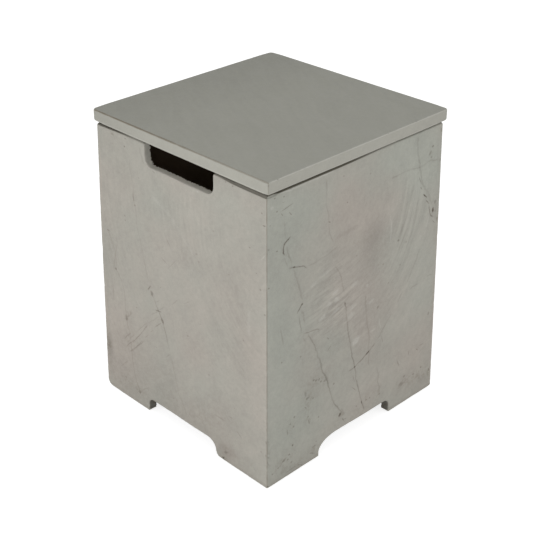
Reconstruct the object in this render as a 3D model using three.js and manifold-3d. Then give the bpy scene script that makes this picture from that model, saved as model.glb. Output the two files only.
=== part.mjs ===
// Propane tank cover table: a square hollow shell of moulded concrete with a lift-off slab on top.
// Millimetres, +Z up, origin on the floor under the middle. The handle slots face -Y and +Y.
import * as THREE from "three";
import { mergeVertices } from "three/addons/utils/BufferGeometryUtils.js";
import Module from "manifold-3d";

// Slab on top
const lidSide = 400;
const lidThickness = 20;
const lidCornerRadius = 5;
const lidEdgeRound = 3;
const lidOverhang = 3.3;

// Moulded shell, wider at the foot so that it leaves its mould
const shellHeight = 504;
const draftSpread = 7.8;
const rimWall = 12;
const footWall = 16;
const shellCornerRadius = 4;
const cavityCornerRadius = 14;
const rimRound = 3.5;
const footRound = 3;
const rimInnerRound = 2;

// Notches in the edges of the walls: a handle slot under the slab, an arch at each foot
const handleSlot = { width: 156, depth: 36, cornerRadius: 16, lipRadius: 5, offset: -5 };
const footArch = { width: 174, depth: 27, cornerRadius: 18, lipRadius: 6, offset: 0 };
const notchEdgeRound = 2;

// Rubber pads that the slab lies on, one in each corner of the rim
const bumperThickness = 3;
const bumperRadius = 5;
const bumperInset = 9.5;
const bumperEdgeRound = 1;
const bumperSeatGap = 0.3;

// Rubber angles under the slab, inside the corners of the opening
const locatorHeight = 14;
const locatorLeg = 42;
const locatorThickness = 8;
const locatorClearance = 3;
const locatorCornerRadius = 11;
const locatorLeadIn = 1.5;

// Rubber pads under the feet
const floorPadThickness = 2;
const floorPadRadius = 7;
const floorPadInset = 12;
const floorPadEdgeRound = 0.6;

// Cutters run past what they cut, and their rounded edges cross its surface at a slight angle
const overrun = 6;
const cutterProud = 0.05;

// How finely round stretches are divided, and the tightest corner left by an inset
const cornerSteps = 6;
const roundSteps = 4;
const notchSteps = 8;
const discSteps = 32;
const leastCornerShare = 0.125;
const mergeTolerance = 1e-5;
const quarterTurn = Math.PI / 2;

// Sizes that follow from the ones above
const rimHalf = lidSide / 2 - lidOverhang;
const footHalf = rimHalf + draftSpread;
const draftAngle = Math.atan(draftSpread / shellHeight);
const lidBottom = floorPadThickness + shellHeight + bumperSeatGap + bumperThickness;

const outerHalfAt = (z) => footHalf - (draftSpread * z) / shellHeight;
const wallAt = (z) => footWall + ((rimWall - footWall) * z) / shellHeight;
const cavityHalfAt = (z) => outerHalfAt(z) - wallAt(z);

const wasm = await Module();
wasm.setup();

// Points of a quarter round, from the start on the side to the end on the top
function quarterRound(radius) {
  return Array.from({ length: roundSteps + 1 }, (_, step) => {
    const angle = (step / roundSteps) * quarterTurn;
    return { inset: radius * (1 - Math.cos(angle)), drop: radius * (1 - Math.sin(angle)) };
  });
}

// Points of an arc round a centre, from one angle to another
function arc(x, y, radius, from, to, steps) {
  return Array.from({ length: steps + 1 }, (_, step) => {
    const angle = from + ((to - from) * step) / steps;
    return new THREE.Vector2(x + radius * Math.cos(angle), y + radius * Math.sin(angle));
  });
}

// Square with rounded corners, anticlockwise, with as many points at every size
function roundedSquare(half, radius) {
  const centre = half - radius;
  return [0, 1, 2, 3].flatMap((quarter) => {
    const x = quarter === 0 || quarter === 3 ? centre : -centre;
    const y = quarter < 2 ? centre : -centre;
    const from = quarter * quarterTurn;
    return arc(x, y, radius, from, from + quarterTurn, cornerSteps);
  });
}

// Corner radius left once a rounded square is drawn in
const insetCorner = (radius, inset) => Math.max(radius - inset, radius * leastCornerShare);

// Closed body through a stack of outlines with as many points each, lowest first
function loft(sections) {
  const count = sections[0].outline.length;
  const positions = sections.flatMap(({ outline, z }) => outline.flatMap((p) => [p.x, p.y, z]));
  const index = [];
  for (let level = 0; level + 1 < sections.length; level++)
    for (let i = 0; i < count; i++) {
      const a = level * count + i;
      const b = level * count + ((i + 1) % count);
      index.push(a, b, b + count, a, b + count, a + count);
    }
  const top = (sections.length - 1) * count;
  for (const [a, b, c] of THREE.ShapeUtils.triangulateShape(sections[0].outline, []))
    index.push(a, c, b);
  for (const [a, b, c] of THREE.ShapeUtils.triangulateShape(sections.at(-1).outline, []))
    index.push(top + a, top + b, top + c);
  const geometry = new THREE.BufferGeometry();
  geometry.setAttribute("position", new THREE.Float32BufferAttribute(positions, 3));
  return geometry.setIndex(index);
}

// Boolean work: a closed geometry as a solid, and a solid as a geometry
function solidFrom(geometry) {
  const merged = mergeVertices(geometry, mergeTolerance);
  const vertProperties = merged.attributes.position.array;
  const triVerts = new Uint32Array(merged.index.array);
  return new wasm.Manifold(new wasm.Mesh({ numProp: 3, vertProperties, triVerts }));
}

function geometryFrom(solid) {
  const mesh = solid.getMesh();
  const geometry = new THREE.BufferGeometry();
  geometry.setAttribute("position", new THREE.BufferAttribute(mesh.vertProperties, 3));
  return geometry.setIndex(new THREE.BufferAttribute(mesh.triVerts, 1));
}

// Square block whose half size follows its height, with its lower and upper edges rounded
function roundedBlock({ height, halfAt, cornerRadius, lowerRound, upperRound }) {
  const section = (z, inset) => ({
    outline: roundedSquare(halfAt(z) - inset, insetCorner(cornerRadius, inset)),
    z,
  });
  const lower = quarterRound(lowerRound).reverse();
  const upper = quarterRound(upperRound);
  return loft([
    ...lower.map(({ inset, drop }) => section(drop, inset)),
    ...upper.map(({ inset, drop }) => section(height - drop, inset)),
  ]);
}

// The hollow of the shell, open at both ends, with the inner edge of the rim eased
function cavity() {
  const section = (z, grow) => ({
    outline: roundedSquare(cavityHalfAt(z) + grow, cavityCornerRadius + grow),
    z,
  });
  const easing = quarterRound(rimInnerRound);
  return loft([
    section(-overrun, 0),
    ...easing.map(({ inset, drop }) => section(shellHeight - drop + cutterProud, inset)),
    section(shellHeight + overrun, rimInnerRound),
  ]);
}

// Half outline of a notch: x along the edge from its middle, y into the wall.
// The lip rolls from the edge into the notch, the corner from its side to its end.
function notchSide({ width, depth, cornerRadius, lipRadius }, grow) {
  const half = width / 2;
  const lip = arc(
    half + lipRadius, lipRadius - cutterProud, lipRadius - grow,
    -quarterTurn, -2 * quarterTurn, notchSteps,
  );
  const corner = arc(
    half - cornerRadius, depth - cornerRadius, cornerRadius + grow,
    0, quarterTurn, notchSteps,
  );
  const outside = new THREE.Vector2(half + lipRadius, -overrun);
  return [outside, ...lip, ...corner];
}

// Cutter for a notch, x along the edge, y into the wall and z out of the face, which it flares to meet
function notchCutter(notch) {
  const section = (z, grow) => {
    const right = notchSide(notch, grow);
    const left = right.map((p) => new THREE.Vector2(-p.x, p.y)).reverse();
    const outline = [...right, ...left];
    outline.forEach((p) => (p.x += notch.offset));
    return { outline, z };
  };
  const edge = Math.min(notchEdgeRound, notch.lipRadius / 2);
  return loft([
    section(-footWall - rimWall, 0),
    ...quarterRound(edge).map(({ inset, drop }) => section(cutterProud - drop, inset)),
    section(overrun, edge),
  ]);
}

// The moulded shell with its foot on z = 0
function coverShell() {
  let shell = solidFrom(
    roundedBlock({
      height: shellHeight,
      halfAt: outerHalfAt,
      cornerRadius: shellCornerRadius,
      lowerRound: footRound,
      upperRound: rimRound,
    }),
  ).subtract(solidFrom(cavity()));

  for (const side of [0, 1, 2, 3]) {
    const arch = notchCutter(footArch);
    arch.rotateX(quarterTurn - draftAngle);
    arch.translate(0, -footHalf, 0);
    arch.rotateZ(side * quarterTurn);
    shell = shell.subtract(solidFrom(arch));
  }

  for (const side of [0, 1]) {
    const slot = notchCutter(handleSlot);
    slot.rotateX(draftAngle - quarterTurn);
    slot.translate(0, rimHalf, shellHeight);
    slot.rotateZ(side * 2 * quarterTurn);
    shell = shell.subtract(solidFrom(slot));
  }
  return geometryFrom(shell);
}

// The slab with its underside on z = 0
function tableLid() {
  return roundedBlock({
    height: lidThickness,
    halfAt: () => lidSide / 2,
    cornerRadius: lidCornerRadius,
    lowerRound: lidEdgeRound,
    upperRound: lidEdgeRound,
  });
}

// Round pad that hangs below z = 0, with its lower edge rounded
function roundPad(radius, thickness, edgeRound) {
  const edge = quarterRound(edgeRound)
    .reverse()
    .map(({ inset, drop }) => new THREE.Vector2(radius - inset, drop - thickness));
  const profile = [
    new THREE.Vector2(0, -thickness),
    ...edge,
    new THREE.Vector2(radius, 0),
    new THREE.Vector2(0, 0),
  ];
  return new THREE.LatheGeometry(profile, discSteps).rotateX(quarterTurn);
}

// Angle that hangs below z = 0 in the corner of the opening towards +X +Y, with a lead-in below
function lidLocator() {
  const outer = cavityHalfAt(shellHeight) - locatorClearance;
  const section = (z, grow) => {
    const face = outer + grow;
    const end = outer - locatorLeg - grow;
    const back = outer - locatorThickness - grow;
    const radius = locatorCornerRadius + grow;
    const outline = [
      new THREE.Vector2(face, end),
      ...arc(face - radius, face - radius, radius, 0, quarterTurn, cornerSteps),
      new THREE.Vector2(end, face),
      new THREE.Vector2(end, back),
      new THREE.Vector2(back, back),
      new THREE.Vector2(back, end),
    ];
    return { outline, z };
  };
  return loft([
    section(-locatorHeight, -locatorLeadIn),
    section(locatorLeadIn - locatorHeight, 0),
    section(0, 0),
  ]);
}

// Finishes
const castConcrete = new THREE.MeshStandardMaterial({ color: 0xa5a198, roughness: 0.82, metalness: 0 });
const slabConcrete = new THREE.MeshStandardMaterial({ color: 0x9a9a92, roughness: 0.7, metalness: 0 });
const blackRubber = new THREE.MeshStandardMaterial({ color: 0x262626, roughness: 0.9, metalness: 0 });

function named(name, geometry, material) {
  const mesh = new THREE.Mesh(geometry, material);
  mesh.name = name;
  return mesh;
}

// The four corners, as turns about the middle
const corners = [0, 1, 2, 3].map((turn) => ({
  number: turn + 1,
  angle: turn * quarterTurn,
  x: turn === 0 || turn === 3 ? 1 : -1,
  y: turn < 2 ? 1 : -1,
}));

// Shell and the pads under its feet
const base = new THREE.Group();
base.position.z = floorPadThickness;
base.add(named("cover_shell", coverShell(), castConcrete));
for (const { number, x, y } of corners) {
  const pad = named(
    `floor_pad_${number}`,
    roundPad(floorPadRadius, floorPadThickness, floorPadEdgeRound),
    blackRubber,
  );
  const place = footHalf - floorPadInset;
  pad.position.set(x * place, y * place, 0);
  base.add(pad);
}

// Slab and what is glued under it
const lid = new THREE.Group();
lid.position.z = lidBottom;
lid.add(named("table_lid", tableLid(), slabConcrete));
for (const { number, angle, x, y } of corners) {
  const bumper = named(
    `lid_bumper_${number}`,
    roundPad(bumperRadius, bumperThickness, bumperEdgeRound),
    blackRubber,
  );
  const place = rimHalf - bumperInset;
  bumper.position.set(x * place, y * place, 0);
  lid.add(bumper);

  const locator = named(`lid_locator_${number}`, lidLocator(), blackRubber);
  locator.rotation.z = angle;
  lid.add(locator);
}

const propaneTankCoverTable = new THREE.Group();
propaneTankCoverTable.add(base, lid);

export default propaneTankCoverTable;
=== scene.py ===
# Looks of the propane tank cover table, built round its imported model. Metres, +Z up, slots facing -Y and +Y.
import math

import bmesh
import bpy
import numpy as np
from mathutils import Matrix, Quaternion, Vector, noise


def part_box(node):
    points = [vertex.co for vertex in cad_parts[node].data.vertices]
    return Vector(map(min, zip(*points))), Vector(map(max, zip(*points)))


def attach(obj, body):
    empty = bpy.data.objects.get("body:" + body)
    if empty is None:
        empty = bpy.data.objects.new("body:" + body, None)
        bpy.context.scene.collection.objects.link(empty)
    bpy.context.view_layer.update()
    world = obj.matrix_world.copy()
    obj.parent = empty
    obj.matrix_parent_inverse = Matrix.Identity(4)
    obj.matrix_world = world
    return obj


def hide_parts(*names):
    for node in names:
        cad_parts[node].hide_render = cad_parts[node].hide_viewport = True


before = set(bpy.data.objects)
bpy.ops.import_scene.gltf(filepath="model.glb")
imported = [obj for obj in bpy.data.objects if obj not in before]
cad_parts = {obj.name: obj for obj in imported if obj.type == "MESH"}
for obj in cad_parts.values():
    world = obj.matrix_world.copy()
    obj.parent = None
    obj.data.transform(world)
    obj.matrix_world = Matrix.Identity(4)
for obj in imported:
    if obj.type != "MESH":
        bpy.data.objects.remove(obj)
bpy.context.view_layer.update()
shellLow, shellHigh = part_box("cover_shell")
slabLow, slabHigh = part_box("table_lid")
mm = 0.001
quarterTurn = math.pi / 2
scene = bpy.context.scene


# Camera at the photograph's viewing angle

cameraLook = {
    "place": (1.2374, -1.2042, 1.1948),
    "azimuth": 45.907,
    "elevation": 27.153,
    "roll": -0.229,
    "lens": 78.365,
    "sensorWidth": 36.0,
    "shiftY": -0.0654,
}


def addCamera(look):
    azimuth = math.radians(look["azimuth"])
    elevation = math.radians(look["elevation"])
    level = math.cos(elevation)
    aim = Vector((-math.sin(azimuth) * level, math.cos(azimuth) * level, -math.sin(elevation)))
    lens = bpy.data.cameras.new("camera")
    lens.lens = look["lens"]
    lens.sensor_width = look["sensorWidth"]
    lens.shift_y = look["shiftY"]
    camera = bpy.data.objects.new("camera", lens)
    scene.collection.objects.link(camera)
    camera.location = look["place"]
    camera.rotation_mode = "QUATERNION"
    roll = Quaternion((0, 0, 1), math.radians(look["roll"]))
    camera.rotation_quaternion = aim.to_track_quat("-Z", "Y") @ roll
    scene.camera = camera


addCamera(cameraLook)
print("camera placed")


# Small helpers for meshes

def smoothStep(low, high, value):
    share = np.clip((value - low) / (high - low), 0, 1)
    return share * share * (3 - 2 * share)


def lumps(points, size, layers=1, shift=0.0):
    # Soft noise from about -1 to 1, one value for each point, with lumps of the given size
    total = np.zeros(len(points))
    weight = 1.0
    for layer in range(layers):
        spots = (points / size + shift) * 2 ** layer
        total += weight * np.array([noise.noise(spot) for spot in spots.tolist()])
        weight /= 2
    return total


def newPiece(name, points, faces):
    mesh = bpy.data.meshes.new(name)
    mesh.from_pydata(points.tolist(), [], faces.tolist() if hasattr(faces, "tolist") else faces)
    mesh.update()
    piece = bpy.data.objects.new(name, mesh)
    scene.collection.objects.link(piece)
    return piece


def tubeFaces(rows, columns):
    # Faces of a closed tube of rings, each anticlockwise seen from the last ring's side
    faces = [list(reversed(range(columns))), [(rows - 1) * columns + i for i in range(columns)]]
    for row in range(rows - 1):
        for i in range(columns):
            a, b = row * columns + i, row * columns + (i + 1) % columns
            faces.append([a, b, b + columns, a + columns])
    return faces


def pointsOf(mesh):
    flat = np.zeros(len(mesh.vertices) * 3)
    mesh.vertices.foreach_get("co", flat)
    return flat.reshape(-1, 3)


def setPoints(mesh, points):
    mesh.vertices.foreach_set("co", points.astype(np.float32).ravel())
    mesh.update()


def bakeModifiers(piece):
    # The modifiers' result as the piece's own plain mesh
    bpy.context.view_layer.update()
    graph = bpy.context.evaluated_depsgraph_get()
    made = bpy.data.meshes.new_from_object(piece.evaluated_get(graph))
    made.name = piece.name
    piece.modifiers.clear()
    piece.data = made


def dropPiece(piece):
    bpy.data.objects.remove(piece)


def writeValues(mesh, name, values, domain="POINT"):
    # One number or three for each vertex or face, which a material reads by name
    many = values.ndim == 2
    attribute = mesh.attributes.new(name, "FLOAT_VECTOR" if many else "FLOAT", domain)
    attribute.data.foreach_set("vector" if many else "value", values.astype(np.float32).ravel())


def shadeSmooth(mesh, sharpDegrees):
    mesh.shade_smooth()
    mesh.set_sharp_from_angle(angle=math.radians(sharpDegrees))


def triangleCount(piece):
    return sum(len(face.vertices) - 2 for face in piece.data.polygons)


def spacedShares(half, step, fineStep, fineReach, fineSpots):
    # Places from -half to half, close together near the fine spots
    places = [-half]
    while places[-1] < half:
        here = places[-1]
        near = min((abs(here - spot) for spot in fineSpots), default=half)
        places.append(here + (fineStep if near < fineReach else step))
    places[-1] = half
    if places[-1] - places[-2] < fineStep / 2:
        places.pop(-2)
    return np.array(places) / half


# The moulded body: one skin round the outside, over the rim, down the inside and under the foot

bodyLook = {
    "draft": 7.8 * mm,  # how much further out the foot stands than the rim
    "rimWall": 12 * mm,
    "footWall": 16 * mm,
    "cornerHeights": [0, 350 * mm, 504 * mm],
    "cornerRounds": [
        [1.5 * mm, 1.3 * mm, 1.8 * mm], [4 * mm, 3.5 * mm, 4 * mm],
        [5 * mm, 5 * mm, 5 * mm], [2.5 * mm, 4 * mm, 7 * mm],
    ],  # at the front, right, back and left corner, at each height
    "cavityCornerRadius": 14 * mm,
    "rimRound": 3.5 * mm,
    "lean": (0.85 * mm, 0.85 * mm),
    "rimSink": 2.1 * mm,
    "rimSinkReach": 100 * mm,
    "rimWearDepth": 4.7 * mm,
    "rimWearReach": (118 * mm, 36 * mm),
    "footRound": 3 * mm,
    "innerRound": 2 * mm,
    "columnStep": 5.2 * mm,
    "fineColumnStep": 2.4 * mm,
    "fineReach": 7 * mm,
    "rowStep": 4.8 * mm,
    "innerRowStep": 12 * mm,
    "innerRowStepAtSlot": 3 * mm,
    "cornerSteps": 6,
    "roundSteps": 4,
    "faceUnevenness": 0.35 * mm,
    "edgeNibble": 0.55 * mm,
    "innerRoughness": 1.25 * mm,
    "innerWaves": 1.6 * mm,
    "jambRoughness": 0.3 * mm,
    "soffitWaves": 0.7 * mm,
    "sharpDegrees": 34,
    "wornFeet": {
        (-1, -1): (6.8 * mm, 7 * mm), (1, 1): (4 * mm, 6 * mm),
        (1, -1): (2.6 * mm, 5 * mm), (-1, 1): (8 * mm, 14 * mm),
    },  # by corner, how round it is worn and how far that reaches
    "blowHoles": 56,
    "seed": 21,
}

# Notches in the walls: for the left and the right end, seen from outside, the half width, the depth into the
# wall, how far the corner's curve reaches across and up, and the lip's radius, in millimetres.
# The slot is cut upside down, so its right end comes first.
slotEnds = ((79.5, 37.5, 15, 15, 5), (78, 37.5, 14, 16, 5))
archEnds = {
    "front": ((87, 27, 12, 12, 4), (84, 27, 20, 17, 12)),
    "right": ((86.5, 29.2, 38, 21, 3), (87, 27.6, 12, 12, 4)),
    "back": ((87, 27, 17, 17, 6), (87, 27, 19, 18, 5)),
    "left": ((87, 27, 20, 18, 5), (87, 27, 15, 15, 7)),
}
notchEdge = 2 * mm
slotOffset = 5 * mm
faceTurns = {"front": 0, "right": 1, "back": 2, "left": 3}

bodyHeight = shellHigh.z - shellLow.z
footHalf = shellHigh.x + bodyLook["draft"] * bodyLook["footRound"] / bodyHeight
rimHalf = footHalf - bodyLook["draft"]
draftAngle = math.atan(bodyLook["draft"] / bodyHeight)


def outerHalfAt(height):
    return footHalf - bodyLook["draft"] * height / bodyHeight


def wallAt(height):
    return bodyLook["footWall"] + (bodyLook["rimWall"] - bodyLook["footWall"]) * height / bodyHeight


def cavityHalfAt(height):
    return outerHalfAt(height) - wallAt(height)


def ringPoints(half, radii, shares, steps):
    # Rounded square with a radius for each corner, anticlockwise from the left end of the -Y side
    points = []
    for turn in range(4):
        left, radius = half - radii[turn - 1], radii[turn]
        centre = half - radius
        side = [(-left + (left + centre) * (share + 1) / 2, -half) for share in shares]
        for step in range(1, steps):
            angle = -quarterTurn + quarterTurn * step / steps
            side.append((centre + radius * math.cos(angle), -centre + radius * math.sin(angle)))
        c, s = round(math.cos(turn * quarterTurn)), round(math.sin(turn * quarterTurn))
        points += [(c * x - s * y, s * x + c * y) for x, y in side]
    return points


def quarterRound(radius, steps):
    # How far a rounded edge is drawn in, and how far below its top, from its side to its top
    angles = [quarterTurn * step / steps for step in range(steps + 1)]
    return [(radius * (1 - math.cos(angle)), radius * (1 - math.sin(angle))) for angle in angles]


def bodySections(look):
    # The closed profile as (half size, corner radii, height), up the outside and down the inside
    steps = look["roundSteps"]
    least = 0.5 * mm
    cavity = np.full(4, look["cavityCornerRadius"])
    sections = []

    def outerRadii(height, inset):
        rounds = [np.interp(height, look["cornerHeights"], rounds) for rounds in look["cornerRounds"]]
        return np.maximum(np.array(rounds) - inset, least)

    def outer(height, inset):
        sections.append((outerHalfAt(height) - inset, outerRadii(height, inset), height))

    for inset, drop in reversed(quarterRound(look["footRound"], steps)):
        outer(drop, inset)
    fine = [look["footRound"] + step * mm for step in (1.5, 4, 7, 10.5, 14.5)]
    rows = max(2, round((bodyHeight - look["rimRound"] - fine[-1]) / look["rowStep"]))
    for height in fine:
        outer(height, 0)
    for row in range(1, rows):
        outer(fine[-1] + (bodyHeight - look["rimRound"] - fine[-1]) * row / rows, 0)
    for inset, drop in quarterRound(look["rimRound"], steps):
        outer(bodyHeight - drop, inset)

    rimOut = outerHalfAt(bodyHeight) - look["rimRound"]
    rimIn = cavityHalfAt(bodyHeight) + look["innerRound"]
    for share in (0.33, 0.67):
        half = rimOut + (rimIn - rimOut) * share
        sections.append((half, least + (cavity - least) * share, bodyHeight))
    for inset, drop in reversed(quarterRound(look["innerRound"], steps)):
        height = bodyHeight - drop
        sections.append((cavityHalfAt(height) + inset, cavity + inset, height))

    height = bodyHeight - look["innerRound"]
    slotFoot = bodyHeight - slotEnds[0][1] * mm - look["fineReach"]
    while height > 4 * mm:
        height -= look["innerRowStepAtSlot"] if height > slotFoot else look["innerRowStep"]
        if height > 4 * mm:
            sections.append((cavityHalfAt(height), cavity, height))
    sections.append((cavityHalfAt(1.2 * mm), cavity, 1.2 * mm))
    sections.append((cavityHalfAt(0) + 0.8 * mm, cavity, 0))
    footOut = outerHalfAt(0) - look["footRound"]
    footIn = cavityHalfAt(0) + 0.8 * mm
    for share in (0.33, 0.67):
        half = footIn + (footOut - footIn) * share
        sections.append((half, cavity + (least - cavity) * share, 0))
    return sections


def sweepSkin(sections, shares, steps):
    rings = [[(x, y, z) for x, y in ringPoints(half, radii, shares, steps)] for half, radii, z in sections]
    points = np.array(rings)
    rows, columns = points.shape[:2]
    first = (np.arange(rows) * columns)[:, None]
    after = (np.roll(np.arange(rows), -1) * columns)[:, None]
    here = np.arange(columns)[None, :]
    beside = np.roll(np.arange(columns), -1)[None, :]
    quads = np.stack([first + here, first + beside, after + beside, after + here], axis=-1)
    return points.reshape(-1, 3), quads.reshape(-1, 4)


def wearCorner(points, corner, radius, edgeRadius, reach):
    # Rounds one lower corner off, most at its tip and less along the edges that leave it
    sides = np.sign(corner)
    away = np.stack([
        (corner[0] - points[:, 0]) * sides[0],
        (corner[1] - points[:, 1]) * sides[1],
        points[:, 2],
    ], axis=1)
    far = away.max(axis=1)
    near = (away.min(axis=1) > -radius) & (far < radius + reach)
    local = edgeRadius + (radius - edgeRadius) * (1 - smoothStep(radius * 0.5, radius + reach, far))
    over = np.clip(local[:, None] - away, 0, None)
    length = np.linalg.norm(over, axis=1)
    move = near & (length > local) & (away.min(axis=1) < local)
    share = np.where(move, 1 - local / np.maximum(length, 1e-9), 0)[:, None]
    inward = over * share
    points[:, 0] -= inward[:, 0] * sides[0]
    points[:, 1] -= inward[:, 1] * sides[1]
    points[:, 2] += inward[:, 2]


def roughenBody(points, look):
    # Slight unevenness outside, a hand-laid surface inside, and nibbled edges. Outside, only inwards.
    height = points[:, 2]
    half = footHalf - look["draft"] * height / bodyHeight
    reach = np.abs(points[:, :2]).max(axis=1)
    depth = half - reach
    outside = depth < look["rimRound"] + mm
    inside = depth > wallAt(height) - 2.5 * mm
    axis = np.abs(points[:, :2]).argmax(axis=1)
    sign = np.sign(points[np.arange(len(points)), axis])
    rimShare = smoothStep(0, 25 * mm, bodyHeight - height) * smoothStep(0, 25 * mm, height)

    uneven = 0.5 + 0.5 * lumps(points, 0.11, 2)
    inward = np.where(outside & (depth < mm), uneven * look["faceUnevenness"] * rimShare, 0)

    waves = lumps(points, 0.055, 1, 3.1) * look["innerWaves"]
    rough = lumps(points, 0.0085, 2, 7.7) * look["innerRoughness"]
    nearFoot = smoothStep(0, 6 * mm, height)
    inward = np.where(inside, -(waves + rough) * 0.6 * nearFoot, inward)
    points[np.arange(len(points)), axis] -= sign * inward

    edge = half - np.abs(points[:, :2]).min(axis=1)
    onEdge = outside & (edge < 5 * mm)
    nibble = np.clip(lumps(points, 0.012, 2, 1.3) - 0.15, 0, 1) * look["edgeNibble"]
    for side in (0, 1):
        points[:, side] -= np.where(onEdge, np.sign(points[:, side]) * nibble, 0)
    rim = outside & (bodyHeight - height < look["rimRound"] * 0.9)
    points[:, 2] -= np.where(rim, np.clip(lumps(points, 0.015, 2, 5.2), 0, 1) * look["edgeNibble"], 0)
    foot = height < look["footRound"] * 0.7
    points[:, 2] += np.where(foot, np.clip(lumps(points, 0.02, 2, 8.4), 0, 1) * look["edgeNibble"], 0)


def wearRim(points, look):
    # The rim is rubbed to a slope at the front corner, deepest at its tip and fading out along both sides
    left, right = look["rimWearReach"]
    away = np.maximum((rimHalf - points[:, 0]) / left, (rimHalf + points[:, 1]) / right)
    drop = bodyHeight - points[:, 2]
    inset = outerHalfAt(bodyHeight) - np.abs(points[:, :2]).max(axis=1)
    fade = 1 - smoothStep(0.4, 1, away + 0.1 * lumps(points, 0.02, 1, 4.4))
    rim = (drop < look["rimRound"] + 0.2 * mm) & (inset < 9 * mm)
    slope = np.clip(look["rimWearDepth"] * (1 - inset / (9 * mm)), 0, None)
    points[:, 2] = np.where(rim, bodyHeight - drop - (slope - drop).clip(0) * fade, points[:, 2])
    # and it lies lower at the left corner
    away = np.maximum(points[:, 0], points[:, 1]) + rimHalf
    sunk = look["rimSink"] * (1 - smoothStep(0, look["rimSinkReach"], away))
    points[:, 2] -= sunk * smoothStep(20 * mm, 2 * mm, drop)


def notchSide(end, middleDepth, grow):
    # Half an outline from outside the wall's edge round the lip, up the end and along to the middle
    half, depth, across, up, lip = [size * mm for size in end]
    points = [(half + lip, -8 * mm)]
    for step in range(7):
        angle = -quarterTurn * (1 + step / 6)
        points.append((half + lip + (lip - grow) * math.cos(angle), lip + (lip - grow) * math.sin(angle)))
    straight = depth - up - lip
    for step in range(1, 4):
        if straight > 3 * mm:
            points.append((half + grow, lip + straight * step / 4))
    for step in range(13):
        angle = quarterTurn * step / 12
        points.append((
            half - across + (across + grow) * math.cos(angle),
            depth - up + (up + grow) * math.sin(angle),
        ))
    inner = half - across
    for step in range(1, 30):
        points.append((inner * (1 - step / 30), depth + (middleDepth - depth) * step / 30 + grow))
    return points


def notchCutter(name, ends, offset, look):
    # u across the face, v into the wall from its edge, w out of the face, which the notch flares to meet
    depth = (ends[0][1] + ends[1][1]) / 2 * mm

    def section(w, grow):
        left, right = [notchSide(end, depth, grow) for end in ends]
        outline = right + [(0, depth + grow)] + [(-u, v) for u, v in reversed(left)]
        return [(u + offset, v, w) for u, v in outline]

    deep = [-29, -25, -21, -17.5, -15, -12.5, -10, -7.5, -5]
    sections = [section(w * mm, 0) for w in deep]
    sections += [section(0.05 * mm - drop, inset) for inset, drop in quarterRound(notchEdge, 4)]
    sections += [section(8 * mm, notchEdge)]
    points = np.array(sections)
    rows, columns = points.shape[:2]
    flat = points.reshape(-1, 3)

    into = flat[:, 1].copy()
    rough = lumps(flat, 0.009, 2, 11.0 + len(name)) * look["jambRoughness"]
    sag = lumps(flat * np.array([1, 0, 0.3]), 0.05, 1, 4.0 + len(name)) * look["soffitWaves"]
    middle = smoothStep(0, 25 * mm, ends[0][0] * mm - np.abs(flat[:, 0] - offset))
    flat[:, 1] += np.where(into > depth * 0.5, sag * middle + rough * 0.7, 0)
    flat[:, 0] += np.where(into > 1 * mm, rough * 0.6, 0)

    return newPiece(name, flat, tubeFaces(rows, columns))


def turnedAbout(points, turn):
    c, s = round(math.cos(turn * quarterTurn)), round(math.sin(turn * quarterTurn))
    return points @ np.array([[c, -s, 0], [s, c, 0], [0, 0, 1]]).T


def placeNotch(cutter, atFoot, turn):
    # From the notch's own axes to the wall's lower or upper edge, leaning with the draft
    flat = pointsOf(cutter.data)
    u, v, w = flat[:, 0], flat[:, 1], flat[:, 2]
    lean = math.sin(draftAngle), math.cos(draftAngle)
    if atFoot:
        stood = [u, -footHalf - w * lean[1] + v * lean[0], v * lean[1] + w * lean[0]]
    else:
        stood = [-u, -rimHalf - w * lean[1] - v * lean[0], bodyHeight - v * lean[1] + w * lean[0]]
    setPoints(cutter.data, turnedAbout(np.stack(stood, axis=1), turn))


# Chips off the edges and blow holes in the faces, by face, across and up in millimetres
chips = {
    "right": [
        (-177, 503.5, 1.9), (-151, 502, 1.6), (-136, 503.5, 1.5), (-200, 88, 1.2), (-201, 60, 1.5),
        (-201, 47, 1.3), (-147, 55, 1.0), (-154, 40, 1.1), (-76, 2, 2.0), (-203, 3, 2.6), (187, 351, 1.1),
    ],
    "front": [
        (103, 4, 2.2), (-178, 317, 1.0), (-204, 58, 1.4), (192, 457, 1.0), (-120, 497, 0.9),
        (-123, 483, 0.8), (146, 2, 1.5),
    ],
    "back": [
        (-150, 503, 1.8), (60, 2, 1.6), (133, 2, 2.4), (-40, 250, 1.0), (90, 410, 1.1), (171, 120, 1.2),
    ],
    "left": [
        (-110, 503, 1.7), (120, 2, 2.2), (-95, 3, 1.9), (10, 160, 1.1), (140, 330, 1.0), (-160, 230, 1.2),
    ],
}


def faceToBody(name, u, v, deep=0.0):
    # A place on an outer face, across and up from its foot, or deeper in its wall, as a point of the body
    point = np.array([[u, deep - outerHalfAt(v), v]])
    return turnedAbout(point, faceTurns[name])[0]


def innerEdgeSpots(rng):
    # Breaks along the inner edges of the slots and arches, as (face, across, up, size, depth in the wall)
    spots = []
    for name in faceTurns:
        edges = [(archEnds[name], 0, 0, 1, 1)]
        if name in ("front", "back"):
            edges.append((slotEnds[::-1], slotOffset, bodyHeight, -1, 1.35))
        for ends, offset, start, way, scale in edges:
            for side, end in zip((-1, 1), ends):
                outline = np.array(notchSide(end, end[1] * mm, 0))
                lengths = np.concatenate([[0], np.cumsum(np.linalg.norm(np.diff(outline, axis=0), axis=1))])
                along = lengths[0] + 14 * mm
                while along < lengths[-1]:
                    u, into = [np.interp(along, lengths, outline[:, axis]) for axis in (0, 1)]
                    v = start + way * into
                    spots.append((name, side * u + offset, v, rng.uniform(0.7, 1.9) * scale * mm, wallAt(v)))
                    along += rng.uniform(3, 9) * mm
    return spots


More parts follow.
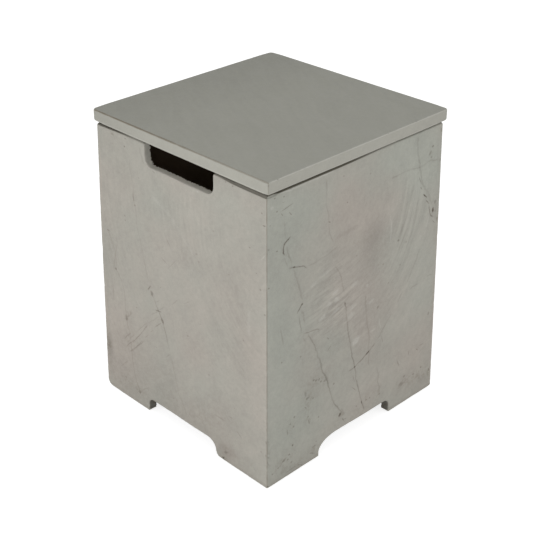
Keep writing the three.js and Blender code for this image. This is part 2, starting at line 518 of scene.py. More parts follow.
def lumpCutter(name, places, sizes, uneven, shift):
    # Irregular lumps at the places and of the sizes given, all in one mesh
    shape = bmesh.new()
    bmesh.ops.create_icosphere(shape, subdivisions=2, radius=1)
    shape.verts.index_update()
    ball = np.array([list(vertex.co) for vertex in shape.verts])
    triangles = np.array([[vertex.index for vertex in face.verts] for face in shape.faces])
    shape.free()
    points, faces = [], []
    for index, (place, size) in enumerate(zip(places, sizes)):
        swelling = 1 + uneven * lumps(ball, 0.9, 1, index * shift)
        points.append(ball * size * swelling[:, None] + place)
        faces.append(triangles + len(ball) * index)
    return newPiece(name, np.concatenate(points), np.concatenate(faces))


def pitCutter(look):
    # Cuts the chips and the blow holes
    rng = np.random.default_rng(look["seed"])
    spots = [(name, u * mm, v * mm, size * mm, 0) for name, rows in chips.items() for u, v, size in rows]
    names = list(faceTurns)
    for _ in range(look["blowHoles"]):
        name = names[rng.integers(4)]
        low = rng.random() ** 1.8
        u, v = rng.uniform(-0.18, 0.18), 0.03 + low * 0.44
        inSlot = name in ("front", "back") and v > 0.45 and abs(u) < 0.1
        inArch = v < 0.04 and abs(u) < 0.1
        if not (inSlot or inArch):
            spots.append((name, u, v, rng.uniform(0.45, 0.85) * mm, 0))
    spots += innerEdgeSpots(rng)
    places = [faceToBody(name, u, v, deep) for name, u, v, size, deep in spots]
    sizes = [rng.uniform(0.75, 1.35, 3) * size for name, u, v, size, deep in spots]
    return lumpCutter("pits", places, sizes, 0.35, 1.7)


def carve(piece, cutters):
    # Cuts the cutters out of the piece and drops them
    for cutter in cutters:
        modifier = piece.modifiers.new("carve", "BOOLEAN")
        modifier.operation = "DIFFERENCE"
        modifier.solver = "MANIFOLD"
        modifier.object = cutter
    bakeModifiers(piece)
    for cutter in cutters:
        dropPiece(cutter)


def buildBody(look):
    archHalf, slotHalf = archEnds["back"][0][0] * mm, slotEnds[0][0] * mm
    fineSpots = [-archHalf, archHalf, slotOffset - slotHalf, slotOffset + slotHalf]
    fineSpots += [-slotOffset - slotHalf, slotHalf - slotOffset, -footHalf, footHalf]
    half = footHalf - look["cornerRounds"][0][0]
    shares = spacedShares(half, look["columnStep"], look["fineColumnStep"], look["fineReach"], fineSpots)
    points, quads = sweepSkin(bodySections(look), shares, look["cornerSteps"])
    roughenBody(points, look)
    wearRim(points, look)
    for corner, (radius, reach) in look["wornFeet"].items():
        wearCorner(points, np.array(corner) * footHalf, radius, look["footRound"], reach)
    body = newPiece("cover_body", points, quads)

    cutters = []
    for face, turn in faceTurns.items():
        arch = notchCutter("arch_" + face, archEnds[face], 0, look)
        placeNotch(arch, True, turn)
        cutters.append(arch)
    for face in ("front", "back"):
        slot = notchCutter("slot_" + face, slotEnds, -slotOffset, look)
        placeNotch(slot, False, faceTurns[face])
        cutters.append(slot)
    cutters.append(pitCutter(look))
    carve(body, cutters)
    return body


body = buildBody(bodyLook)
print("body skin:", triangleCount(body), "triangles")


# What is seen on the outer faces, read off across and up from the foot in millimetres.
# Lines: half width, darkness (negative is lighter), and the points they pass through.

faceLines = {
    "right": [
        (0.7, 0.24, [(-163, 455), (-161, 440), (-160, 425)]),
        (0.8, 1.0, [(-149, 426), (-158, 421), (-163, 418), (-165, 412), (-165, 404), (-162, 399)]),
        (1.6, 0.27, [(-160, 415), (-157, 405), (-152, 392), (-147, 378)]),
        (0.7, 0.24, [(-163, 398), (-161, 390), (-156, 376)]),
        (0.75, 0.58, [(-156, 376), (-143, 373), (-135, 370), (-125, 368), (-120, 365), (-115, 360)]),
        (1.4, 0.23, [(-145, 372), (-141, 358), (-136, 345), (-131, 330), (-127, 315), (-124, 310)]),
        (0.9, 0.9, [(-124, 306), (-129, 301), (-133, 296), (-138, 290)]),
        (0.7, 0.3, [(-133, 287), (-131, 275), (-128, 262), (-128, 253)]),
        (1.6, 0.2, [(-128, 295), (-123, 280), (-120, 265)]),
        (0.7, 0.54, [(-123, 249), (-112, 248), (-100, 247), (-92, 245), (-87, 242)]),
        (0.7, 0.2, [(-125, 244), (-121, 239), (-119, 230)]),
        (1.15, 0.29, [
            (-112, 247), (-108, 236), (-102, 225), (-97, 215), (-92, 205), (-90, 192), (-85, 183),
            (-82, 170), (-79, 160), (-73, 150), (-68, 138), (-66, 128), (-62, 116), (-58, 106), (-55, 96),
            (-52, 88), (-46, 80), (-41, 72), (-36, 65), (-31, 60),
        ]),
        (1.7, 0.26, [(-79, 160), (-73, 150), (-68, 138), (-66, 128)]),
        (0.8, 0.17, [
            (-75, 495), (-75, 470), (-75, 447), (-72, 440), (-70, 430), (-69, 410), (-67, 400), (-63, 390),
            (-58, 383),
        ]),
        (0.9, 0.24, [(-58, 341), (-50, 336), (-46, 328), (-41, 318), (-38, 308), (-37, 300), (-33, 286)]),
        (0.95, 0.35, [
            (-31, 269), (-29, 262), (-27, 250), (-26, 240), (-24, 228), (-22, 215), (-20, 203), (-17, 190),
            (-14, 178), (-11, 165), (-8, 152), (-5, 140), (-2, 130), (0, 120), (1, 108), (4, 97), (8, 86),
            (11, 75), (14, 65), (17, 55), (21, 45), (25, 36),
        ]),
        (0.7, 0.54, [
            (-20, 134), (-10, 134), (-3, 135), (0, 136), (12, 140), (22, 145), (30, 149), (38, 153),
            (48, 160),
        ]),
        (1.2, 0.24, [(48, 160), (65, 178), (73, 186), (80, 193), (87, 200)]),
        (1.0, 0.27, [(98, 212), (104, 219), (110, 227), (115, 231)]),
        (0.8, 0.2, [(120, 240), (140, 270), (152, 295)]),
        (1.5, 0.16, [
            (18, 262), (19, 250), (21, 235), (22, 220), (24, 208), (27, 195), (29, 183), (31, 170),
            (30, 158), (32, 145), (31, 135), (33, 120),
        ]),
        (1.0, 0.24, [(53, 110), (57, 95), (57, 85), (59, 70), (62, 50)]),
        (0.9, -0.3, [(53, 205), (56, 192), (59, 180)]),
        # A painted highlight along the rounded edge of the rim
        (0.8, -0.5, [(-172, 499), (-120, 499.5), (-60, 499)]),
        (1.8, 0.2, [
            (132, 500), (133, 480), (136, 465), (140, 453), (141, 445), (145, 430), (148, 418), (153, 408),
            (158, 400), (165, 392), (170, 383), (175, 372), (178, 365),
        ]),
        (0.8, 0.51, [(170, 368), (173, 355), (175, 347), (180, 344), (184, 341)]),
        (1.2, 0.17, [
            (70, 446), (100, 447), (125, 446), (140, 443), (150, 443), (160, 446), (170, 447), (190, 444),
        ]),
        (0.8, 0.2, [(130, 225), (140, 228), (155, 227)]), (0.8, 0.2, [(173, 233), (190, 232)]),
        (0.8, 0.2, [(-113, 363), (-100, 363), (-85, 366), (-70, 366), (-60, 370), (-48, 372)]),
        (3.0, 0.12, [(-60, 385), (-40, 388), (-20, 391), (0, 391)]),
        (2.0, 0.13, [
            (129, 425), (128, 412), (124, 398), (121, 388), (117, 378), (114, 370), (110, 360), (105, 352),
            (99, 338), (95, 330),
        ]),
        (1.8, 0.13, [(120, 348), (114, 340), (108, 330), (103, 322), (95, 308)]),
        (1.5, -0.15, [(136, 420), (133, 400), (127, 382), (121, 366), (113, 350)]),
        (1.1, -0.35, [(73, 385), (75, 370), (77, 355), (76, 345), (75, 335), (72, 328)]),
        (1.2, -0.3, [(172, 350), (168, 335), (163, 325)]),
    ],
    "front": [
        (0.8, 0.13, [
            (-112, 465), (-111, 450), (-107, 430), (-105, 412), (-106, 400), (-103, 388), (-101, 375),
            (-101, 360), (-98, 345), (-93, 330), (-89, 315), (-86, 300), (-82, 285), (-79, 270), (-75, 260),
        ]),
        (0.9, 0.75, [(-69, 256), (-74, 250), (-79, 242)]),
        (0.9, 0.26, [
            (-68, 241), (-60, 228), (-55, 220), (-50, 212), (-46, 205), (-43, 200), (-40, 193), (-36, 182),
            (-33, 170), (-30, 160), (-27, 148),
        ]),
        (0.9, 0.13, [
            (-27, 148), (-22, 135), (-18, 122), (-14, 105), (-11, 95), (-8, 80), (-3, 70), (3, 60),
            (10, 48), (15, 38),
        ]),
        (0.8, 0.16, [
            (-187, 352), (-183, 330), (-180, 318), (-175, 310), (-169, 298), (-163, 285), (-161, 272),
            (-161, 260), (-163, 250),
        ]),
        (0.8, 0.2, [
            (-163, 250), (-157, 245), (-148, 232), (-145, 222), (-143, 210), (-142, 195), (-142, 180),
            (-140, 168),
        ]),
        (1.3, 0.22, [(-135, 168), (-130, 175), (-125, 180)]),
        (0.9, 0.17, [
            (-140, 164), (-137, 148), (-133, 140), (-131, 125), (-130, 110), (-130, 95), (-127, 75),
            (-125, 60), (-121, 48), (-117, 38), (-112, 27),
        ]),
        (0.8, 0.15, [(-155, 300), (-159, 285), (-162, 275), (-165, 270), (-167, 260), (-168, 240)]),
        (1.4, 0.12, [(-174, 225), (-173, 205), (-173, 190), (-174, 175)]),
        (1.4, 0.12, [(-193, 190), (-191, 160)]),
        (0.65, 0.36, [(-144, 106), (-130, 120), (-115, 135), (-100, 152), (-90, 166), (-82, 176)]),
        (0.6, 0.22, [(-130, 102), (-118, 113), (-107, 127), (-97, 138)]),
        (0.6, 0.19, [(-143, 112), (-120, 142)]), (0.6, 0.28, [(-93, 144), (-80, 158)]),
        (0.65, 0.31, [(-65, 178), (-58, 185), (-45, 197)]), (0.6, 0.3, [(-150, 118), (-128, 141)]),
        (0.6, 0.3, [(-138, 96), (-108, 126)]), (0.6, 0.28, [(-118, 116), (-92, 140)]),
        (0.6, 0.25, [(-112, 150), (-84, 178)]), (0.6, 0.22, [(-80, 180), (-50, 206)]),
        (0.6, 0.22, [(-70, 200), (-36, 230)]), (0.6, 0.17, [(-60, 228), (-47, 238)]),
        (0.6, 0.17, [(-20, 240), (0, 258)]), (0.6, 0.15, [(10, 255), (30, 268)]),
        (0.6, 0.14, [(-25, 305), (0, 330)]), (0.6, 0.17, [(-165, 55), (-140, 80)]),
        (0.6, 0.15, [(-110, 30), (-85, 50)]), (1.0, 0.22, [(-85, 495), (-84, 485), (-79, 475), (-73, 468)]),
        (2.6, -0.16, [(-60, 420), (-10, 396), (40, 350)]),
        (3.0, -0.16, [(162, 310), (161, 285), (164, 260)]),
    ],
    "back": [
        (0.9, 0.25, [(-140, 420), (-118, 372), (-124, 321), (-98, 262), (-84, 196)]),
        (1.1, 0.2, [(60, 300), (82, 244), (88, 190), (112, 118), (120, 61)]),
        (1.0, 0.3, [(-131, 352), (-118, 348), (-104, 351)]),
        (1.4, 0.14, [(90, 231), (118, 243), (150, 268)]), (0.9, 0.18, [(150, 470), (158, 404), (151, 352)]),
        (1.0, 0.2, [(-40, 120), (-22, 74), (-18, 38)]),
        (2.2, 0.14, [(-170, 300), (-150, 250), (-146, 200)]),
        (1.5, -0.18, [(40, 420), (62, 380), (70, 340)]),
    ],
    "left": [
        (1.0, 0.24, [(96, 402), (82, 350), (90, 311), (66, 246), (58, 188), (31, 120)]),
        (0.9, 0.18, [(-152, 300), (-146, 244), (-157, 190)]),
        (1.0, 0.3, [(88, 327), (99, 326), (113, 330)]), (1.4, 0.18, [(-90, 210), (-52, 188), (-14, 184)]),
        (0.9, 0.18, [(-60, 460), (-72, 402), (-64, 366)]), (1.0, 0.22, [(128, 96), (136, 58), (150, 24)]),
        (2.0, 0.14, [(-20, 420), (-8, 380), (12, 350)]),
        (1.4, -0.18, [(-130, 420), (-120, 380), (-100, 350)]),
    ],
}

# Spots and short dashes: across, up, half length, half width, turn in degrees, darkness
faceSpots = {
    "right": [
        # The first spot, lighter, is a painted glint
        (-187, 483, 3, 2.4, 0, -0.5), (-143, 373, 2.4, 1.6, -20, 0.63), (-126, 303, 2.2, 1.8, 40, 0.63),
        (-37, 58, 3.4, 2.6, 30, 1), (-29, 44, 6.5, 0.9, -60, 0.39), (-24, 43, 4.5, 0.8, -12, 0.35),
        (-68, 420, 2.6, 0.9, -25, 0.42), (-30, 265, 2.6, 1.6, 100, 0.56), (17, 55, 3.2, 1.3, 110, 0.63),
        (-5, 113, 8, 0.7, -72, 0.35), (-4, 93, 6, 0.7, -48, 0.35), (-3, 135, 2.2, 1.7, 0, 0.63),
        (28, 148, 4.4, 1.5, 25, 0.63), (62, 50, 2.2, 1.8, 0, 0.49), (64, 157, 7, 0.9, -72, 0.24),
        (50, 225, 2.6, 2.2, 0, 0.35), (144, 419, 6.5, 0.8, -63, 0.42), (148, 404, 3.6, 0.8, -56, 0.42),
        (158, 388, 6.2, 1.2, -42, 1), (165, 375, 6.2, 1.0, -45, 0.52), (185, 332, 3.6, 0.8, -45, 0.42),
        (181, 355, 2.4, 4.4, 0, 1), (186, 368, 3, 2.6, 0, 0.35), (95, 330, 2.2, 1.8, 0, 0.49),
        (-181, 496, 1.6, 1.3, 0, 0.56), (-177, 474, 1.8, 1.4, 30, 0.49), (-191, 457, 1.4, 1.2, 0, 0.49),
        (-163, 493, 1.4, 1.2, 0, 0.42), (-167, 466, 3.2, 0.9, -58, 0.42), (-150, 462, 3.4, 0.9, -50, 0.42),
        (-158, 474, 11, 0.8, 12, 0.42), (-178, 412, 1.7, 1.3, 0, 0.49), (-195, 358, 1.6, 1.4, 0, 0.49),
        (-194, 420, 1.4, 1.2, 0, 0.42), (-29, 439, 1.6, 1.3, 0, 0.42), (-129, 212, 1.6, 1.4, 0, 0.42),
        (-170, 220, 1.6, 1.4, 0, 0.42), (-169, 265, 15, 1.3, -80, 0.21), (-68, 218, 3.4, 0.9, -45, 0.42),
        (-64, 199, 5.4, 0.9, 40, 0.35), (-100, 155, 2, 1.6, 0, 0.49), (-94, 152, 2.4, 1.4, 0, 0.42),
        (-87, 151, 2.6, 1.6, 40, 0.49), (-83, 145, 2, 1.5, 0, 0.49), (-75, 142, 2.6, 1.6, 0, 0.42),
        (-118, 137, 5, 2.4, 90, 0.35), (-114, 128, 3.4, 1.7, 0, 0.42), (-118, 112, 3.4, 1, -50, 0.42),
        (-112, 92, 1.6, 1.5, 0, 0.42), (-110, 80, 4, 1.2, -80, 0.35), (-101, 122, 1.7, 1.4, 0, 0.35),
        (-143, 107, 2, 1.7, 0, 0.42), (-145, 90, 1.9, 1.6, 0, 0.42), (-159, 87, 5, 0.9, -85, 0.42),
        (-152, 98, 1.6, 1.4, 0, 0.42), (-147, 55, 1.8, 1.7, 0, 0.63), (-155, 41, 1.8, 1.5, 0, 0.49),
        (-168, 35, 3.6, 2.1, 20, 0.42), (-158, 33, 1.6, 1.4, 0, 0.42), (-192, 23, 1.7, 1.5, 0, 0.42),
        (-180, 28, 2, 1.5, 0, 0.42), (-150, 24, 2, 1.7, 0, 0.35), (-88, 79, 1.8, 1.5, 0, 0.35),
        (-53, 126, 1.8, 1.6, 0, 0.42), (-98, 27, 4, 1, 0, 0.35), (-93, 34, 1.6, 1.4, 0, 0.35),
        (-102, 15, 7, 1.1, -30, 0.35), (-131, 8, 6.5, 1.1, -24, 0.35), (-150, 10, 10, 1, 3, 0.35),
        (-200, 63, 1.4, 3, 0, -0.5), (-200, 48, 1.4, 2.4, 0, -0.5), (172, 470, 2.4, 1.8, 0, 0.49),
        (166, 460, 4, 2, 60, 0.35), (170, 452, 2.4, 1.6, 0, 0.42), (191, 492, 1.8, 3, 0, 0.42),
        (193, 440, 1.5, 3, 0, 0.42), (193, 335, 1.4, 5, 0, 0.42), (185, 157, 2, 3.2, 0, 0.35),
        (120, 43, 5, 4, 0, 0.35), (127, 55, 2, 1.6, 0, 0.42), (152, 48, 2.2, 1.6, 0, 0.42),
        (172, 53, 2, 1.8, 0, 0.42), (159, 95, 3.6, 0.9, -45, 0.42), (170, 100, 5.2, 0.9, 0, 0.35),
        (136, 99, 4, 0.9, 82, 0.42), (108, 91, 6, 1, -65, 0.42), (112, 91, 6, 0.9, -65, -0.4),
        (4, 54, 1.8, 1.4, 0, 0.42), (28, 55, 1.6, 1.4, 0, 0.42), (37, 55, 1.6, 1.4, 0, 0.42),
        (195, 37, 1.8, 2.8, 0, 0.42), (-66, 279, 4.4, 3.6, 14, -0.5), (-50, 280, 5.4, 4.2, 14, -0.5),
        (-52, 294, 7.4, 2.2, 14, -0.5), (-8, 291, 7.4, 3.2, 14, -0.4), (-82, 261, 7.4, 3.2, 14, -0.45),
        (-50, 261, 9.4, 2.6, 14, -0.45), (-13, 251, 8, 3.8, 14, -0.4), (-15, 237, 6.6, 4.6, 14, -0.4),
        (-2, 184, 9.4, 5.2, 12, -0.6), (40, 186, 5, 2.2, 0, -0.4), (34, 243, 5.4, 2.6, 14, -0.4),
        (22, 276, 3, 2.4, 0, -0.4), (-102, 327, 7.4, 2.4, 14, -0.35), (-75, 336, 18, 1.9, 14, -0.3),
        (115, 320, 2, 1.6, 0, 0.28), (60, 300, 1.8, 1.4, 0, 0.28), (102, 283, 2, 1.5, 0, 0.28),
        (74, 260, 1.6, 1.5, 0, 0.28), (-38, 485, 1.6, 1.2, 0, 0.28), (22, 470, 1.8, 1.3, 0, 0.28),
        (-5, 340, 1.5, 1.3, 0, 0.28),
    ],
    "front": [
        (-106, 400, 1.6, 6, 5, 0.28), (-103, 388, 1.8, 1.6, 0, 0.35), (-68, 241, 3.4, 4.4, 20, 0.49),
        (-52, 215, 7.6, 0.9, 8, 0.52), (-43, 200, 2.6, 4.4, 15, 0.45), (-178, 317, 2.8, 0.9, 0, 0.49),
        (-163, 250, 2, 2, 0, 0.49), (-140, 164, 3, 4.8, 10, 0.52), (-112, 27, 3.4, 3, 0, 0.49),
        (-72, 168, 3.4, 0.7, 45, 0.28), (-30, 140, 7, 0.7, 45, 0.21), (-52, 462, 3.2, 0.9, -20, 0.35),
        # The lighter spot at 50 across, 463 up is a painted highlight below the slot
        (50, 463, 2.2, 1.4, 0, -0.5), (-131, 360, 1.6, 1.4, 0, 0.42), (-130, 352, 1.4, 1.2, 0, 0.35),
        (-152, 495, 3.4, 1.6, 0, 0.28), (-123, 483, 1.6, 1.4, 0, 0.42), (-120, 497, 1.6, 1.2, 0, 0.42),
        (-34, 315, 8, 0.7, -22, 0.28), (-21, 350, 6.4, 0.7, -50, 0.28), (-110, 197, 1.6, 1.4, 0, 0.35),
        (127, 497, 1.6, 1.2, 0, 0.42), (192, 457, 2.4, 0.9, 0, 0.42), (187, 475, 1.6, 1.4, 0, 0.35),
        (118, 350, 1.6, 1.4, 0, 0.28), (46, 357, 1.7, 1.4, 0, 0.28), (50, 345, 1.6, 1.3, 0, 0.28),
        (185, 352, 2, 1.6, 0, 0.42), (195, 314, 1.6, 1.5, 0, 0.35), (190, 406, 5, 0.8, 52, -0.5),
        (140, 71, 6, 1, -35, 0.28), (95, 80, 10, 1.2, 0, 0.21), (120, 94, 5.4, 1.1, 0, 0.21),
        (190, 65, 1.7, 1.5, 0, 0.35), (103, 6, 2.8, 2.2, 0, 0.63), (201, 89, 1.2, 2.6, 0, 0.35),
        (201, 63, 1.2, 2.4, 0, 0.35), (110, 20, 4, 2.2, 20, 0.42), (-150, 40, 2, 1.6, 0, 0.28),
        (-90, 440, 1.6, 1.3, 0, 0.24), (85, 410, 1.7, 1.4, 0, 0.24), (150, 250, 1.6, 1.4, 0, 0.24),
        (20, 200, 1.8, 1.4, 0, 0.24), (70, 150, 1.6, 1.5, 0, 0.28), (-20, 60, 1.7, 1.4, 0, 0.28),
    ],
    "back": [
        (-104, 350, 4, 3, 0, 0.48), (88, 190, 3.4, 4.6, 0, 0.36), (-60, 120, 2, 1.6, 0, 0.36),
        (130, 330, 1.8, 1.5, 0, 0.36), (-150, 200, 6, 0.9, 40, 0.3), (20, 400, 1.7, 1.5, 0, 0.3),
        (-20, 300, 8, 2.6, 14, -0.24), (10, 320, 10, 2.4, 14, -0.24), (150, 80, 4, 2, 0, 0.3),
        (-170, 60, 3, 2, 0, 0.36), (-90, 40, 1.8, 1.5, 0, 0.36), (60, 100, 1.6, 1.4, 0, 0.3),
    ],
    "left": [
        (88, 326, 3.6, 2.4, 0, 0.54), (-60, 250, 2.4, 3.4, 0, 0.36), (-120, 140, 1.8, 1.5, 0, 0.36),
        (150, 420, 1.7, 1.4, 0, 0.36), (20, 230, 9, 2.6, 5, -0.24), (-10, 280, 8, 3, 5, -0.24),
        (120, 50, 4, 2.2, 0, 0.3), (-150, 40, 3.2, 1.8, 0, 0.36), (-30, 60, 1.7, 1.5, 0, 0.3),
        (60, 440, 6, 0.8, 45, 0.3), (-100, 330, 1.6, 1.4, 0, 0.3), (160, 200, 1.7, 1.5, 0, 0.3),
    ],
}

# Soft patches on each face: across, up, half width, half height, amount
warmPatches = {
    "right": [
        (-180, 260, 55, 260, -0.8), (-110, 90, 60, 70, -0.5), (-130, 470, 80, 40, -0.6),
        (145, 440, 60, 60, -0.8), (-35, 440, 40, 50, 0.5), (20, 395, 70, 50, 0.6), (-30, 330, 70, 50, 0.4),
        (0, 250, 60, 60, 0.4), (20, 190, 40, 50, 0.5), (150, 95, 60, 60, 0.6), (90, 480, 60, 26, -0.6),
        (30, 350, 40, 50, 0.2), (200, 250, 4, 260, 0.6), (-60, 200, 50, 30, -0.5), (140, 300, 50, 60, -0.2),
    ],
    "front": [
        (0, 280, 320, 320, 0.26), (-170, 110, 60, 70, 0.3), (-190, 60, 30, 50, 0.5),
        (-120, 60, 80, 50, 0.2), (-40, 420, 60, 60, -0.3), (60, 120, 60, 40, -0.2), (110, 22, 24, 18, 0.6),
        (120, 470, 60, 30, -0.3), (-135, 290, 55, 100, -0.35), (-20, 170, 40, 40, -0.3),
    ],
    "back": [
        (-60, 360, 80, 70, 0.5), (110, 160, 60, 100, 0.4), (-140, 90, 60, 60, -0.4),
        (60, 420, 70, 40, -0.4),
    ],
    "left": [
        (70, 380, 70, 80, 0.4), (-110, 170, 60, 110, 0.5), (120, 80, 60, 50, -0.4),
        (-60, 430, 80, 40, -0.4),
    ],
}
# Positive amounts are painted shade and negative ones painted light, partly the cement's own tone: darker
# along the foot and some edges
paintedShadeAndTonePatches = {
    "right": [
        (30, 350, 30, 52, 0.55), (200, 250, 3, 260, 0.3), (-45, 198, 24, 16, 0.22), (180, 24, 24, 14, 0.35),
        (-62, 283, 50, 34, -0.14), (0, 186, 22, 14, -0.12), (60, 200, 20, 60, 0.1),
        (185, 180, 16, 60, -0.05), (-104, 140, 26, 30, 0.12), (-160, 60, 30, 50, 0.12),
        (-160, 12, 40, 14, 0.25), (0, 12, 200, 12, 0.12), (120, 40, 40, 24, 0.16), (190, 400, 8, 100, 0.16),
        (-201, 250, 3.5, 300, 0.35), (100, 330, 14, 20, 0.1), (-50, 345, 50, 44, 0.24),
        (-120, 90, 70, 60, 0.2), (140, 190, 60, 230, -0.2), (0, 475, 200, 30, -0.16),
        (150, 422, 42, 44, -0.26), (100, 175, 60, 30, -0.14), (-60, 275, 30, 30, 0.12),
    ],
    "front": [
        (45, 392, 14, 14, 0.1), (25, 390, 10, 10, 0.1), (80, 288, 26, 14, 0.12), (140, 325, 20, 22, 0.08),
        (45, 195, 26, 40, 0.1), (115, 105, 44, 50, 0.14), (-196, 85, 11, 28, 0.9), (112, 22, 18, 16, 0.45),
        (0, 10, 210, 24, 0.2), (-20, 60, 200, 60, 0.38), (-185, 330, 36, 250, 0.24),
        (40, 200, 50, 60, 0.12), (-165, 30, 50, 40, 0.2), (162, 285, 6, 34, -0.14), (60, 440, 90, 40, -0.1),
        (-10, 385, 60, 24, -0.14), (-130, 130, 60, 50, 0.14), (190, 280, 26, 180, -0.16),
    ],
    "back": [
        (-60, 300, 60, 60, 0.3), (100, 110, 60, 50, 0.25), (0, 14, 200, 26, 0.25), (60, 400, 60, 40, -0.15),
    ],
    "left": [
        (60, 350, 60, 60, 0.3), (-90, 130, 60, 60, 0.25), (0, 14, 200, 26, 0.25), (-60, 420, 70, 40, -0.15),
    ],
}
dirtPatches = {
    "right": [
        (-34, 56, 9, 10, 0.9), (-36, 70, 6, 12, 0.4), (-100, 152, 16, 9, 0.6), (-84, 154, 10, 7, 0.5),
        (-112, 128, 14, 20, 0.55), (-110, 88, 8, 24, 0.5), (-152, 92, 14, 16, 0.4), (-140, 60, 10, 14, 0.3),
        (128, 42, 26, 14, 0.6), (172, 40, 28, 18, 0.7), (165, 95, 22, 8, 0.4), (-165, 34, 20, 12, 0.6),
        (-185, 20, 14, 12, 0.5), (-140, 14, 34, 8, 0.6), (-98, 22, 12, 12, 0.7), (-174, 502, 8, 5, 0.6),
        (-147, 499, 9, 5, 0.4), (14, 40, 34, 12, 0.35), (28, 60, 6, 12, 0.5), (195, 332, 7, 40, 0.5),
        (197, 180, 5, 60, 0.5), (-201, 61, 5, 44, 0.5), (-60, 40, 40, 9, 0.3), (60, 55, 10, 16, 0.45),
        (20, 362, 30, 10, 0.25), (8, 375, 20, 10, 0.2), (168, 458, 8, 16, 0.45), (183, 360, 8, 14, 0.5),
        (-72, 145, 5, 14, 0.5), (-62, 200, 12, 10, 0.35), (110, 90, 8, 16, 0.35), (196, 30, 6, 16, 0.6),
    ],
    "front": [
        (-136, 170, 9, 12, 0.5), (-128, 182, 8, 8, 0.35), (-45, 201, 5, 7, 0.5), (-52, 215, 7, 4, 0.4),
        (-66, 240, 6, 8, 0.4), (113, 24, 16, 8, 0.6), (104, 9, 7, 6, 0.8), (-197, 85, 9, 38, 1.2),
        (-150, 26, 60, 14, 0.4), (-112, 25, 10, 12, 0.5), (61, 63, 40, 30, 0.25), (11, 43, 70, 14, 0.25),
        (-105, 398, 4, 14, 0.4), (171, 23, 30, 18, 0.25), (203, 60, 4, 60, 0.3), (-128, 118, 24, 20, 0.35),
        (-150, 495, 10, 5, 0.4), (-72, 470, 12, 6, 0.3),
    ],
    "back": [
        (-120, 24, 70, 14, 0.5), (130, 20, 60, 16, 0.5), (-104, 350, 9, 7, 0.6), (88, 190, 10, 14, 0.4),
    ],
    "left": [
        (130, 22, 70, 14, 0.5), (-130, 26, 60, 16, 0.4), (88, 326, 9, 7, 0.5), (-60, 250, 16, 20, 0.3),
    ],
}
hatchPatches = {
    "right": [
        (-62, 300, 62, 70, 1.0), (-40, 255, 60, 36, 1.0), (0, 190, 40, 30, 0.5), (59, 301, 50, 50, 0.3),
    ],
    "front": [
        (-60, 330, 60, 50, 0.15), (60, 180, 60, 60, 0.15),
    ],
    "back": [
        (20, 300, 70, 70, 0.6),
    ],
    "left": [
        (-20, 260, 60, 90, 0.7),
    ],
}
streakPatches = {
    "right": [
        (120, 370, 60, 90, 1.0), (110, 250, 50, 80, 0.5),
    ],
    "front": [
        (-164, 301, 40, 190, 0.4), (20, 400, 90, 60, 0.5), (120, 260, 70, 120, 0.4),
    ],
    "back": [
        (-130, 320, 60, 160, 0.7),
    ],
    "left": [
        (120, 330, 60, 150, 0.8),
    ],
}
paintLook = {
    "sway": 0.7,
    "swayStep": 6.0,
    "lineReach": 7.5,
    "spotReach": 7.5,
    "fade": 4.0,
    # Painted light on the slot's jambs and sill, given as negative shade
    "slotShade": -1.1,
    # Painted shade on the worn rim slope near the front corner, under the slab
    "rimShade": 0.9,
    # Painted shade in the arches, with brown smudges that are partly dirt and partly the shade's brown tint
    "archShade": 1.8,
    "archDirtAndShade": 1.6,
    "seed": 5,
}


def swayed(points, rng, look):
    # The chosen points joined by a line that wanders a little, like a crack
    line = [np.array(points[0], float)]
    for start, end in zip(points, points[1:]):
        start, end = np.array(start, float), np.array(end, float)
        length = np.linalg.norm(end - start)
        steps = max(1, round(length / look["swayStep"]))
        across = np.array([start[1] - end[1], end[0] - start[0]]) / length
        for step in range(1, steps + 1):
            sway = rng.normal(0, look["sway"]) if step < steps else 0
            line.append(start + (end - start) * step / steps + across * sway)
    return np.array(line)


def distanceToLine(places, line):
    # Signed distance of each place to the line, and how far inside the line's ends its nearest point lies
    best = np.full(len(places), 1e3)
    signed = np.full(len(places), 1e3)
    along = np.zeros(len(places))
    lengths = np.linalg.norm(np.diff(line, axis=0), axis=1)
    starts = np.concatenate([[0], np.cumsum(lengths)])
    for index, length in enumerate(lengths):
        way = (line[index + 1] - line[index]) / length
        offset = places - line[index]
        share = np.clip(offset @ way, 0, length)
        gap = np.linalg.norm(offset - share[:, None] * way, axis=1)
        side = np.where(way[0] * offset[:, 1] - way[1] * offset[:, 0] < 0, -1, 1)
        nearer = gap < best
        best = np.where(nearer, gap, best)
        signed = np.where(nearer, gap * side, signed)
        along = np.where(nearer, starts[index] + share, along)
    return signed, np.minimum(along, starts[-1] - along)


def farthestSet(sets, marks):
    # The set whose marks lie farthest from these, so that no two of one set are close together
    gaps = []
    for held in sets:
        lengths = [np.linalg.norm(marks[:, None] - other, axis=2).min() for other in held]
        gaps.append(min(lengths, default=1e3))
    return int(np.argmax(gaps))


def onFace(points, name):
    # Across and up in millimetres on one outer face, and which points lie on it
    flat = turnedAbout(points, -faceTurns[name] % 4)
    depth = flat[:, 1] + outerHalfAt(flat[:, 2])
    lies = (depth < 3 * mm) & (np.abs(flat[:, 0]) <= -flat[:, 1] + 1e-6)
    return flat[:, [0, 2]] / mm, lies


